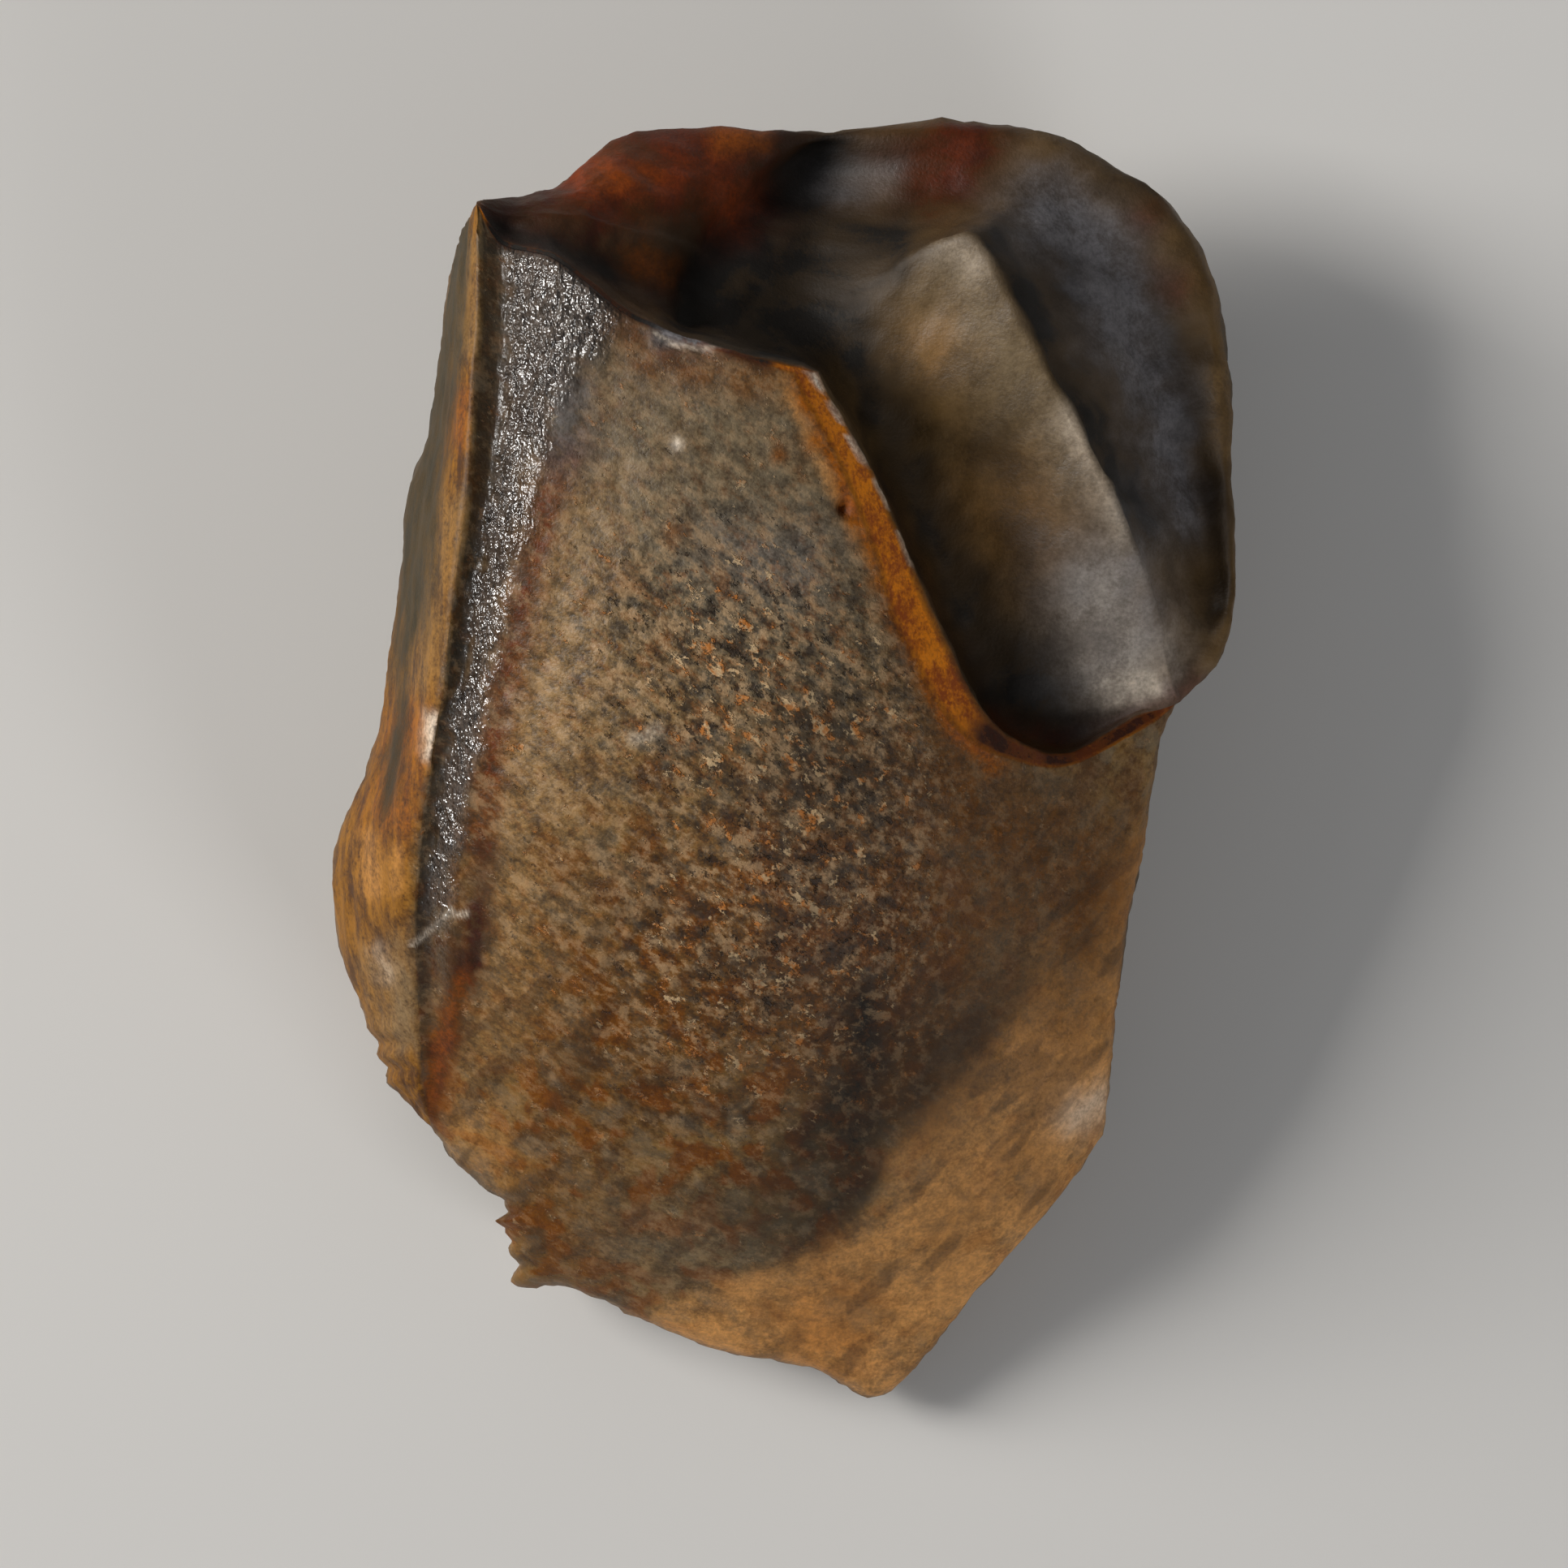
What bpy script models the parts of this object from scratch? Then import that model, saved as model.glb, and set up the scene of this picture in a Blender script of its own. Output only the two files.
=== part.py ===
"""Fossil Triceratops tooth: a shed crown, one solid that lies on its flat wear facet.

The tables below are in millimetres. +Z points up, away from the wear facet. +Y runs from the worn tip to
the hollowed root end, and +X away from the sharp ridge. The mesh is in metres, with its origin under the
middle of its box.

The upper side is four patches that meet on shared lines: the flank left of the ridge, the enamel face, the
broken lip along the top of the face, and the hollow of the root end. The outline of the four is the tooth's
widest line, and a wall runs from it down to the wear facet.
"""

from collections import namedtuple

import bmesh
import bpy
import numpy as np

MM = 0.001

# Driving dimensions
TOOTH_LENGTH = 24.0
RIM_ROUNDING = 0.35
FACET_CENTRE = (0.0, -1.6)

# How finely each patch is divided
GROOVE_COLUMNS = (0.0, 0.06, 0.12, 0.23, 0.35, 0.5, 0.65, 0.8, 0.95, 1.2, 1.5, 1.9)
COLUMNS_BEYOND = 33
FACE_ROWS = 44
FLANK_STEPS = 6
HOLLOW_STEPS = (3, 5, 5, 4)
WALL_STEPS = 7

# Corners where the patches meet, as (x, y)
ROOT_CORNER = (-5.65, 10.3)
RUNOUT_CORNER = (-6.6, -6.8)
HOLLOW_CORNER = (7.3, 1.1)
HEEL_CORNER = (6.0, -7.0)

# The sharp ridge, from the root corner to where it runs out
RIDGE_LINE = [
    ROOT_CORNER, (-5.65, 9.4), (-5.65, 8.1), (-5.75, 6.4), (-5.8, 5.2), (-5.95, 4.0), (-6.15, 2.5),
    (-6.3, 1.2), (-6.5, 0.0), (-6.75, -1.4), (-6.85, -3.0), (-6.8, -4.6), (-6.75, -5.8), RUNOUT_CORNER,
]

# The widest line of the left flank, beside the ridge, as (x, y, height above the wear facet)
LEFT_SIDE = [
    (-6.0, 9.8, 8.6), (-6.25, 8.8, 7.4), (-6.45, 7.4, 6.7), (-6.65, 6.1, 6.3), (-6.95, 5.1, 6.0),
    (-7.1, 3.8, 5.7), (-7.25, 2.5, 5.5), (-7.45, 1.2, 5.2), (-7.7, 0.1, 5.0), (-8.1, -0.8, 4.8),
    (-8.4, -1.8, 4.6), (-8.4, -2.9, 4.3), (-8.2, -3.9, 4.1), (-7.8, -4.8, 4.1), (-7.4, -5.9, 4.3),
]

# The right side below the hollow, and the worn tip from the ridge's run-out round to the heel
RIGHT_SIDE = [
    HOLLOW_CORNER, (7.0, 0.5), (6.85, -0.6), (6.7, -1.8), (6.45, -3.0), (6.2, -4.6), (6.1, -6.0),
    HEEL_CORNER,
]
WORN_TIP = [
    RUNOUT_CORNER, (-6.1, -7.5), (-5.5, -8.0), (-5.1, -8.4), (-5.1, -9.0), (-4.9, -9.8), (-4.2, -9.8),
    (-3.5, -10.1), (-2.2, -10.7), (-0.9, -11.2), (0.4, -11.45), (1.2, -11.8), (1.7, -12.0), (2.2, -11.7),
    (2.9, -10.9), (3.7, -9.9), (4.7, -8.7), (5.6, -7.6), HEEL_CORNER,
]

# Heights of the enamel face above the wear facet, before the ridge's own relief.
# Rows go from root to tip and columns from the ridge to the right.
HEIGHT_X = (-7.0, -3.5, 0.0, 3.5, 7.0)
HEIGHT_Y = (12.0, 8.0, 4.0, 0.0, -4.0, -8.0, -12.0)
FACE_HEIGHTS = [
    (9.4, 10.6, 10.4, 9.0, 6.6),
    (10.0, 11.0, 10.9, 9.6, 7.2),
    (10.1, 11.1, 10.9, 9.4, 6.8),
    (9.2, 10.5, 10.3, 8.6, 5.8),
    (6.9, 8.6, 8.6, 6.9, 4.2),
    (3.6, 5.4, 5.6, 4.2, 2.0),
    (0.2, 1.3, 1.7, 1.0, -0.3),
]

# Across the ridge: distance from its sharp edge in groove widths, and height in millimetres
RIDGE_PROFILE = [
    (0.0, 0.2), (0.12, -0.02), (0.35, -0.26), (0.65, -0.12), (0.95, 0.05), (1.4, 0.0), (1.9, -0.05),
    (2.8, 0.0),
]
# Along the ridge: (y, groove width, share of the profile's height)
RIDGE_TAPER = [
    (12.0, 1.7, 1.0), (8.0, 1.65, 1.0), (5.0, 1.3, 1.0), (2.0, 1.0, 0.85), (-1.0, 0.85, 0.6),
    (-4.0, 0.7, 0.4), (-6.8, 0.5, 0.1),
]

# A shallow trough slants down the lower right of the face
TROUGH_START, TROUGH_END = (6.2, -1.6), (-0.4, -9.6)
TROUGH_DEPTH, TROUGH_WIDTH = 0.25, 1.3

# Stations across the root end, from the root corner round to the hollow's lower corner. edge is the broken
# edge, lip the step from it up to the enamel, and drop how far the edge lies below the enamel. Then come the
# foot of the wall inside, the crest of the wedge that stands in the hollow, the valley behind it and the rim.
Station = namedtuple("Station", "edge lip drop foot wedge valley rim")
ROOT_END = [
    Station(
        (-5.15, 9.6), (-0.05, -0.08), 0.05,
        (-5.1, 9.8, 9.9), (-5.0, 10.0, 9.8), (-4.95, 10.2, 9.6), (-4.9, 10.4, 9.3),
    ),
    Station(
        (-4.2, 9.3), (-0.03, -0.09), 0.05,
        (-4.15, 9.6, 9.9), (-4.05, 10.1, 9.6), (-4.0, 10.5, 9.2), (-3.95, 10.8, 8.6),
    ),
    Station(
        (-2.9, 8.3), (-0.05, -0.08), 0.08,
        (-2.85, 8.7, 9.3), (-2.9, 9.9, 9.1), (-2.9, 10.9, 8.5), (-2.9, 11.5, 7.6),
    ),
    Station(
        (-1.8, 7.8), (-0.03, -0.09), 0.08,
        (-1.75, 8.3, 8.6), (-1.6, 9.6, 8.0), (-1.45, 10.8, 7.8), (-1.3, 11.65, 6.9),
    ),
    Station(
        (0.0, 7.25), (-0.02, -0.08), 0.08,
        (0.1, 7.8, 8.0), (0.3, 9.2, 6.9), (0.6, 10.8, 6.0), (1.1, 11.75, 6.3),
    ),
    Station(
        (0.5, 7.2), (-0.34, -0.1), 0.35,
        (0.7, 7.5, 7.8), (1.1, 9.0, 7.2), (1.6, 10.7, 6.1), (2.2, 11.9, 6.0),
    ),
    Station(
        (0.75, 6.8), (-0.45, 0.0), 0.4,
        (1.05, 7.1, 7.6), (1.9, 9.0, 7.6), (2.5, 10.6, 6.3), (3.3, 12.0, 5.8),
    ),
    Station(
        (1.5, 5.5), (-0.5, -0.05), 0.4,
        (1.9, 5.8, 7.2), (3.4, 9.75, 8.2), (4.5, 10.6, 6.2), (5.55, 11.5, 5.3),
    ),
    Station(
        (2.1, 4.2), (-0.55, -0.1), 0.45,
        (2.5, 4.5, 6.9), (4.4, 8.2, 8.2), (6.1, 8.9, 5.6), (7.68, 9.85, 5.0),
    ),
    Station(
        (2.8, 2.6), (-0.7, -0.2), 0.45,
        (3.2, 2.9, 6.6), (5.3, 6.6, 8.0), (7.0, 7.1, 5.2), (8.3, 7.5, 5.0),
    ),
    Station(
        (3.65, 0.95), (-0.5, -0.3), 0.35,
        (4.0, 1.3, 6.4), (6.0, 5.2, 7.8), (7.4, 5.3, 4.9), (8.35, 5.6, 5.2),
    ),
    Station(
        (4.4, 0.35), (-0.15, -0.3), 0.25,
        (4.7, 0.75, 6.3), (6.5, 4.2, 7.4), (7.7, 3.9, 5.1), (8.45, 3.8, 5.4),
    ),
    Station(
        (5.3, 0.2), (0.0, -0.25), 0.2,
        (5.6, 0.6, 6.1), (7.0, 2.9, 6.7), (7.75, 2.6, 5.5), (8.3, 2.3, 5.6),
    ),
    Station(
        (6.5, 0.8), (0.1, -0.2), 0.1,
        (6.6, 1.0, 6.0), (7.1, 1.9, 6.2), (7.4, 1.75, 5.8), (7.75, 1.5, 5.7),
    ),
]

# The wear facet's edge, as a share of the way from its centre to the outline: (y, share)
FACET_SHARES = [(12.0, 0.5), (6.0, 0.6), (0.0, 0.76), (-6.0, 0.9), (-12.0, 0.95)]
EDGE_SMOOTHINGS = 12
# How far the wall turns in, in degrees, before the wear facet cuts it off
WALL_TURN = 66.0


def through(points, at):
    """Points of a Catmull-Rom curve. at counts the given points from 0, and may fall between them."""
    points = np.asarray(points, float)
    at = np.asarray(at, float)
    ends = np.vstack([2 * points[0] - points[1], points, 2 * points[-1] - points[-2]])
    span = np.clip(at.astype(int), 0, len(points) - 2)
    t = (at - span)[:, None]
    return between(*(ends[span + k] for k in range(4)), t)


def between(before, start, end, after, t):
    """The value a share t of the way from start to end, on a curve through all four."""
    bend = 2 * before - 5 * start + 4 * end - after
    twist = 3 * start - before - 3 * end + after
    return 0.5 * (2 * start + (end - before) * t + bend * t**2 + twist * t**3)


def shares_along(line):
    """Each point's share of the way along a line, from 0 to 1."""
    steps = np.linalg.norm(np.diff(line, axis=0), axis=1)
    travelled = np.concatenate([[0.0], np.cumsum(steps)])
    return travelled / travelled[-1]


def at_shares(points, shares):
    """Points of the smooth curve through the given ones, at these shares of its length."""
    line = through(points, np.linspace(0, len(points) - 1, 30 * len(points)))
    along = shares_along(line)
    return np.column_stack([np.interp(shares, along, line[:, k]) for k in range(line.shape[1])])


def smooth_value(table, column, at):
    """A table's column read smoothly against its first column."""
    line = through(table, np.linspace(0, len(table) - 1, 12 * len(table)))
    order = np.argsort(line[:, 0])
    return np.interp(at, line[order, 0], line[order, column])


def net_height(x, y):
    """The height net of the face, smooth in both directions."""
    column = np.interp(x, HEIGHT_X, range(len(HEIGHT_X)))
    row = np.interp(-y, [-value for value in HEIGHT_Y], range(len(HEIGHT_Y)))
    by_row = through(np.transpose(FACE_HEIGHTS), column).T
    span = np.clip(row.astype(int), 0, len(by_row) - 2)
    nearby = [by_row[np.clip(span + k, 0, len(by_row) - 1), np.arange(len(x))] for k in (-1, 0, 1, 2)]
    return between(*nearby, row - span)


def ridge_x(y):
    return smooth_value([(y, x) for x, y in RIDGE_LINE], 1, y)


def groove_width(y):
    return smooth_value(RIDGE_TAPER, 1, y)


def ridge_relief(x, y):
    """The sharp ridge, the groove beside it and the low swell past the groove."""
    widths_out = np.maximum(x - ridge_x(y), 0.0) / groove_width(y)
    return smooth_value(RIDGE_TAPER, 2, y) * smooth_value(RIDGE_PROFILE, 1, widths_out)


def crossing_of(line, widths_out):
    """Where a line from the ridge first lies this many groove widths out, counted in its points from 0."""
    out = (line[:, 0] - ridge_x(line[:, 1])) / groove_width(line[:, 1])
    return np.interp(widths_out, np.maximum.accumulate(out), np.arange(len(line)))


def trough_relief(x, y):
    start, end = np.array(TROUGH_START), np.array(TROUGH_END)
    along = (end - start) / np.linalg.norm(end - start)
    offset = np.column_stack([x, y]) - start
    aside = offset[:, 0] * along[1] - offset[:, 1] * along[0]
    share = np.clip(offset @ along / np.linalg.norm(end - start), 0.0, 1.0)
    return -TROUGH_DEPTH * np.sin(np.pi * share) * np.exp(-((aside / TROUGH_WIDTH) ** 2))


def face_height(points):
    x, y = points[:, 0], points[:, 1]
    return net_height(x, y) + ridge_relief(x, y) + trough_relief(x, y)


def on_face(points):
    """The (x, y) points raised to the face."""
    return np.column_stack([points[:, :2], face_height(points)])


def blend_between(top, bottom, left, right):
    """A grid of (x, y) points that fills the space inside four lines (a Coons patch)."""
    u = shares_along(top)[None, :, None]
    v = shares_along(left)[:, None, None]
    across = (1 - v) * top[None] + v * bottom[None]
    down = (1 - u) * left[:, None] + u * right[:, None]
    corners = (1 - v) * ((1 - u) * top[0] + u * top[-1]) + v * ((1 - u) * bottom[0] + u * bottom[-1])
    return across + down - corners


def face_grid(enamel, tip, ridge, right):
    """The face's grid of (x, y) points. Its columns keep to set groove widths beside the ridge."""
    last = len(GROOVE_COLUMNS) - 1
    rows = shares_along(ridge)[:, None]
    groove_y = (1 - rows) * enamel[None, : last + 1, 1] + rows * tip[None, : last + 1, 1]
    groove_y[:, 0] = ridge[:, 1]
    groove_x = ridge_x(groove_y) + groove_width(groove_y) * np.array(GROOVE_COLUMNS)
    groove = np.stack([groove_x, groove_y], axis=2)
    groove[0], groove[-1], groove[:, 0] = enamel[: last + 1], tip[: last + 1], ridge
    beyond = blend_between(enamel[last:], tip[last:], groove[:, last], right)
    return np.concatenate([groove[:, :last], beyond], axis=1)


def columns_of(points):
    """Where the face's columns start along a line: at set groove widths first, then evenly to its end."""
    fine = np.linspace(0, len(points) - 1, 60 * len(points))
    line = through(points, fine)
    beside_ridge = np.interp(crossing_of(line, GROOVE_COLUMNS), np.arange(len(fine)), fine)
    travelled = shares_along(line)
    start = np.interp(beside_ridge[-1], fine, travelled)
    beyond = np.interp(np.linspace(start, 1, COLUMNS_BEYOND + 1)[1:], travelled, fine)
    return np.concatenate([beside_ridge, beyond])


def root_end_lines():
    """The long lines of the root end, sampled alike: enamel, edge, foot, wedge, valley and rim."""
    edge = [ROOT_CORNER, *(s.edge for s in ROOT_END), HOLLOW_CORNER]
    lip = [(0.0, 0.0), *(s.lip for s in ROOT_END), (0.0, 0.0)]
    at = columns_of(np.add(edge, lip))
    start_height, end_height = corner_height(ROOT_CORNER), corner_height(HOLLOW_CORNER)
    edge = through(edge, at)
    drop = through([(0.0,), *((s.drop,) for s in ROOT_END), (0.0,)], at)[:, 0]
    enamel = on_face(edge + through(lip, at))
    edge = on_face(edge)
    edge[:, 2] = np.minimum(edge[:, 2], enamel[:, 2]) - drop
    edge[[0, -1]] = enamel[[0, -1]]
    start, end = (*ROOT_CORNER, start_height), (*HOLLOW_CORNER, end_height)
    inner = [through([start, *(getattr(s, name) for s in ROOT_END), end], at) for name in Station._fields[3:]]
    return [enamel, edge, *inner]


def corner_height(corner):
    return face_height(np.array([corner]))[0]


def hollow_grid(edge, foot, wedge, valley, rim):
    """Rows from the broken edge to the far rim, sharp on the wedge's crest and soft on either side of it."""
    into_hollow, up_wedge, down_wedge, up_rim = HOLLOW_STEPS
    near = np.concatenate([np.linspace(0, 1, into_hollow + 1), np.linspace(1, 2, up_wedge + 1)[1:]])
    far = np.concatenate([np.linspace(0, 1, down_wedge + 1)[1:], np.linspace(1, 2, up_rim + 1)[1:]])
    columns = []
    for k in range(len(edge)):
        near_side = through([edge[k], foot[k], wedge[k]], near)
        far_side = through([wedge[k], valley[k], rim[k]], far)
        columns.append(np.vstack([near_side, far_side]))
    return np.array(columns).swapaxes(0, 1)


def flank_grid(ridge, side):
    """Rows from the ridge to the left side, curving over ever more steeply."""
    shares = np.linspace(0, 1, FLANK_STEPS + 1)
    rows = []
    for share in shares:
        row = ridge + share**0.75 * (side - ridge)
        row[:, 2] = ridge[:, 2] + share**1.25 * (side[:, 2] - ridge[:, 2])
        rows.append(row)
    return np.array(rows)


def distance_to_outline(points, outline):
    """How far each point lies from the outline, seen from above."""
    ends = np.roll(outline, -1, axis=0)[:, :2]
    starts = outline[:, :2]
    along = ends - starts
    offset = points[:, None, :2] - starts[None]
    share = np.clip((offset * along).sum(2) / np.maximum((along**2).sum(1), 1e-12), 0, 1)
    return np.linalg.norm(offset - share[..., None] * along, axis=2).min(1)


def rounded(grid, outline):
    """The patch with its outer rim rounded over."""
    points = grid.reshape(-1, 3).copy()
    inside = np.minimum(distance_to_outline(points, outline), RIM_ROUNDING)
    points[:, 2] -= RIM_ROUNDING - np.sqrt(RIM_ROUNDING**2 - (RIM_ROUNDING - inside) ** 2)
    return points.reshape(grid.shape)


def facet_edge(outline):
    """The wear facet's edge, which follows the outline more loosely the nearer it comes to the root end."""
    edge = outline[:, :2]
    for _ in range(EDGE_SMOOTHINGS):
        edge = (np.roll(edge, 1, axis=0) + 2 * edge + np.roll(edge, -1, axis=0)) / 4
    share = smooth_value(FACET_SHARES, 1, edge[:, 1])[:, None]
    edge = FACET_CENTRE + share * (edge - FACET_CENTRE)
    return np.column_stack([edge, np.zeros(len(edge))])


def wall_grid(outline):
    """Rows from the outline in and down to the wear facet, along part of an ellipse."""
    foot = facet_edge(outline)
    turn = np.radians(WALL_TURN)
    rows = []
    for angle in np.linspace(0, turn, WALL_STEPS + 1):
        inward = (1 - np.cos(angle)) / (1 - np.cos(turn))
        height = 1 - np.sin(angle) / np.sin(turn)
        row = outline + inward * (foot - outline)
        row[:, 2] = outline[:, 2] * height
        rows.append(row)
    return np.array(rows)


def add_grid(mesh, grid, closed=False):
    """Adds a grid of points as faces. A closed one joins its last column to its first."""
    rows, columns = grid.shape[:2]
    verts = [[mesh.verts.new(point * MM) for point in row] for row in grid]
    for r in range(rows - 1):
        for c in range(columns if closed else columns - 1):
            d = (c + 1) % columns
            mesh.faces.new((verts[r][c], verts[r][d], verts[r + 1][d], verts[r + 1][c]))
    return verts


def tooth_mesh():
    enamel, edge, foot, wedge, valley, rim = root_end_lines()
    ridge = on_face(at_shares(RIDGE_LINE, np.linspace(0, 1, FACE_ROWS)))
    right = on_face(at_shares(RIGHT_SIDE, np.linspace(0, 1, FACE_ROWS)))
    tip = on_face(through(WORN_TIP, columns_of(WORN_TIP)))
    left = at_shares([ridge[0], *LEFT_SIDE, ridge[-1]], np.linspace(0, 1, FACE_ROWS))

    face = face_grid(enamel[:, :2], tip[:, :2], ridge[:, :2], right[:, :2])
    face = on_face(face.reshape(-1, 2)).reshape(*face.shape[:2], 3)
    lip = np.array([enamel, edge])
    hollow = hollow_grid(edge, foot, wedge, valley, rim)
    flank = flank_grid(ridge, left)
    outline = np.vstack([rim[:-1], right[:-1], tip[:0:-1], left[:0:-1]])

    mesh = bmesh.new()
    for patch in (face, lip, hollow, flank):
        add_grid(mesh, rounded(patch, outline))
    wall = add_grid(mesh, wall_grid(rounded(outline, outline)), closed=True)
    mesh.faces.new(wall[-1])
    bmesh.ops.remove_doubles(mesh, verts=mesh.verts, dist=1e-6)
    bmesh.ops.recalc_face_normals(mesh, faces=mesh.faces)
    return mesh


def centred(mesh):
    """Moves the mesh so that the middle of its box is over the origin, and sizes it to the tooth's length."""
    points = np.array([vert.co for vert in mesh.verts])
    middle = (points.min(0) + points.max(0)) / 2
    size = TOOTH_LENGTH * MM / np.ptp(points[:, 1])
    for vert in mesh.verts:
        vert.co.x = (vert.co.x - middle[0]) * size
        vert.co.y = (vert.co.y - middle[1]) * size
        vert.co.z *= size
    return mesh


def fossil_material():
    material = bpy.data.materials.new("fossil_enamel")
    material.use_nodes = True
    shader = material.node_tree.nodes["Principled BSDF"]
    shader.inputs["Base Color"].default_value = (0.16, 0.10, 0.055, 1.0)
    shader.inputs["Roughness"].default_value = 0.5
    shader.inputs["Metallic"].default_value = 0.0
    return material


def main():
    for old in list(bpy.data.objects):
        bpy.data.objects.remove(old)
    mesh = centred(tooth_mesh())
    data = bpy.data.meshes.new("tooth")
    mesh.to_mesh(data)
    mesh.free()
    data.materials.append(fossil_material())
    data.shade_smooth()
    data.set_sharp_from_angle(angle=np.radians(38))
    bpy.context.scene.collection.objects.link(bpy.data.objects.new("tooth", data))


main()
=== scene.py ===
"""The look of a fossil Triceratops tooth that lies on its wear facet, seen from straight above.

The skin is drawn from the same lines as the solid, only much more finely. Those lines are in millimetres,
with +Z up from the wear facet, +Y from the worn tip to the hollowed root end, and +X away from the sharp
ridge. The skin is then roughened, fitted to the solid's box, and marked with the stains of the real tooth
and with some painted shade and painted highlights.
"""

import math
from collections import namedtuple

import bmesh
import bpy
import numpy as np
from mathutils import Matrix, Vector, noise


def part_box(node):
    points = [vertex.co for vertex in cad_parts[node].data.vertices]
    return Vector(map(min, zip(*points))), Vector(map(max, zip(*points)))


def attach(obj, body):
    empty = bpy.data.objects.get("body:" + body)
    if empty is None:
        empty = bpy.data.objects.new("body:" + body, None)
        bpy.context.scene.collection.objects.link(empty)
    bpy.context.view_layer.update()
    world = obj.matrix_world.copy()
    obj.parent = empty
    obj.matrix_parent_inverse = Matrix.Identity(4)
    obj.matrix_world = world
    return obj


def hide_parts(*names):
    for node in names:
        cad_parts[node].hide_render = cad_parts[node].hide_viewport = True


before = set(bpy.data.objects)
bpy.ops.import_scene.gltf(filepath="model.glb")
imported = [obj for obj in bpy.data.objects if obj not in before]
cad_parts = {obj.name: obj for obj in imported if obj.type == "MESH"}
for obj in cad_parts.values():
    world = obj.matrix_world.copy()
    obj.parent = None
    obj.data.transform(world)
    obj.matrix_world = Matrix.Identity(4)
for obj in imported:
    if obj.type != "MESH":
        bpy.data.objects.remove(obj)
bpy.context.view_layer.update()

MM = 0.001

# How finely each patch of the skin is divided
GROOVE_COLUMN_COUNT = 44
COLUMNS_BEYOND = 140
FACE_ROWS = 236
FLANK_STEPS = 20
LIP_STEPS = 5
HOLLOW_STEPS = (16, 22, 20, 16)
WALL_STEPS = 18
FINE_WALL_STEPS = 5
FACET_STEPS = 14

# Shapes shared with the solid
RIM_ROUNDING = 0.35
FACET_CENTRE = (0.0, -1.6)
ROOT_CORNER = (-5.65, 10.3)
RUNOUT_CORNER = (-6.6, -6.8)
HOLLOW_CORNER = (7.3, 1.1)
HEEL_CORNER = (6.0, -7.0)

# The sharp ridge, from the root corner to where it runs out
RIDGE_LINE = [
    ROOT_CORNER, (-5.65, 9.4), (-5.65, 8.1), (-5.75, 6.4), (-5.8, 5.2), (-5.95, 4.0), (-6.15, 2.5),
    (-6.3, 1.2), (-6.5, 0.0), (-6.75, -1.4), (-6.85, -3.0), (-6.8, -4.6), (-6.75, -5.8), RUNOUT_CORNER,
]

# The widest line of the left flank, beside the ridge, as (x, y, height above the wear facet)
LEFT_SIDE = [
    (-6.0, 9.8, 8.6), (-6.25, 8.8, 7.4), (-6.45, 7.4, 6.7), (-6.65, 6.1, 6.3), (-6.95, 5.1, 6.0),
    (-7.1, 3.8, 5.7), (-7.25, 2.5, 5.5), (-7.45, 1.2, 5.2), (-7.7, 0.1, 5.0), (-8.1, -0.8, 4.8),
    (-8.4, -1.8, 4.6), (-8.4, -2.9, 4.3), (-8.2, -3.9, 4.1), (-7.8, -4.8, 4.1), (-7.4, -5.9, 4.3),
]

# The right side below the hollow
RIGHT_SIDE = [
    HOLLOW_CORNER, (7.0, 0.5), (6.85, -0.6), (6.7, -1.8), (6.45, -3.0), (6.2, -4.6), (6.1, -6.0),
    HEEL_CORNER,
]

# The worn tip from the ridge's run-out round to the heel
WORN_TIP = [
    RUNOUT_CORNER, (-6.1, -7.5), (-5.5, -8.0), (-5.1, -8.4), (-5.1, -9.0), (-4.9, -9.8), (-4.2, -9.8),
    (-3.5, -10.1), (-2.2, -10.7), (-0.9, -11.2), (0.4, -11.45), (1.2, -11.8), (1.7, -12.0), (2.2, -11.7),
    (2.9, -10.9), (3.7, -9.9), (4.7, -8.7), (5.6, -7.6), HEEL_CORNER,
]
# Nicks and prongs of its broken left corner: (y, how far the edge stands out to the left)
TIP_NICKS = [
    (-10.3, 0.0), (-9.95, 0.12), (-9.76, 0.18), (-9.6, 0.02), (-9.43, -0.12), (-9.25, 0.05), (-9.12, 0.08),
    (-9.0, -0.02), (-8.82, 0.1), (-8.74, 0.08), (-8.61, 0.3), (-8.45, 0.04), (-8.32, 0.06), (-8.2, -0.06),
    (-8.02, 0.08), (-7.8, 0.0),
]
NICK_CORNER, NICK_REACH, NICK_HEIGHT = (-5.2, -9.0), (0.7, 1.6), 0.9
# The flank's edge is chipped too: (y, how far it stands out)
FLANK_NICKS = [
    (-6.3, 0.0), (-6.0, 0.1), (-5.73, -0.12), (-5.5, 0.05), (-5.26, -0.1), (-5.0, 0.06), (-4.7, 0.0),
]
FLANK_NICK_CORNER = (-7.6, -5.4)
# The columns of the skin crowd together round the broken corner
CROWD_CENTRE, CROWD_REACH, CROWDING = (-5.1, -9.0), 1.2, 2.5

# Heights of the enamel face above the wear facet, before the ridge's own relief.
# Rows go from root to tip and columns from the ridge to the right.
HEIGHT_X = (-7.0, -3.5, 0.0, 3.5, 7.0)
HEIGHT_Y = (12.0, 8.0, 4.0, 0.0, -4.0, -8.0, -12.0)
FACE_HEIGHTS = [
    (9.4, 10.6, 10.4, 9.0, 6.6),
    (10.0, 11.0, 10.9, 9.6, 7.2),
    (10.1, 11.1, 10.9, 9.4, 6.8),
    (9.2, 10.5, 10.3, 8.6, 5.8),
    (6.9, 8.6, 8.6, 6.9, 4.2),
    (3.6, 5.4, 5.6, 4.2, 2.0),
    (0.2, 1.3, 1.7, 1.0, -0.3),
]

# Across the ridge: distance from its sharp edge in groove widths, and height in millimetres
RIDGE_PROFILE = [
    (0.0, 0.2), (0.12, -0.02), (0.35, -0.26), (0.65, -0.12), (0.95, 0.05), (1.4, 0.0), (1.9, -0.05),
    (2.8, 0.0),
]
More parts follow.
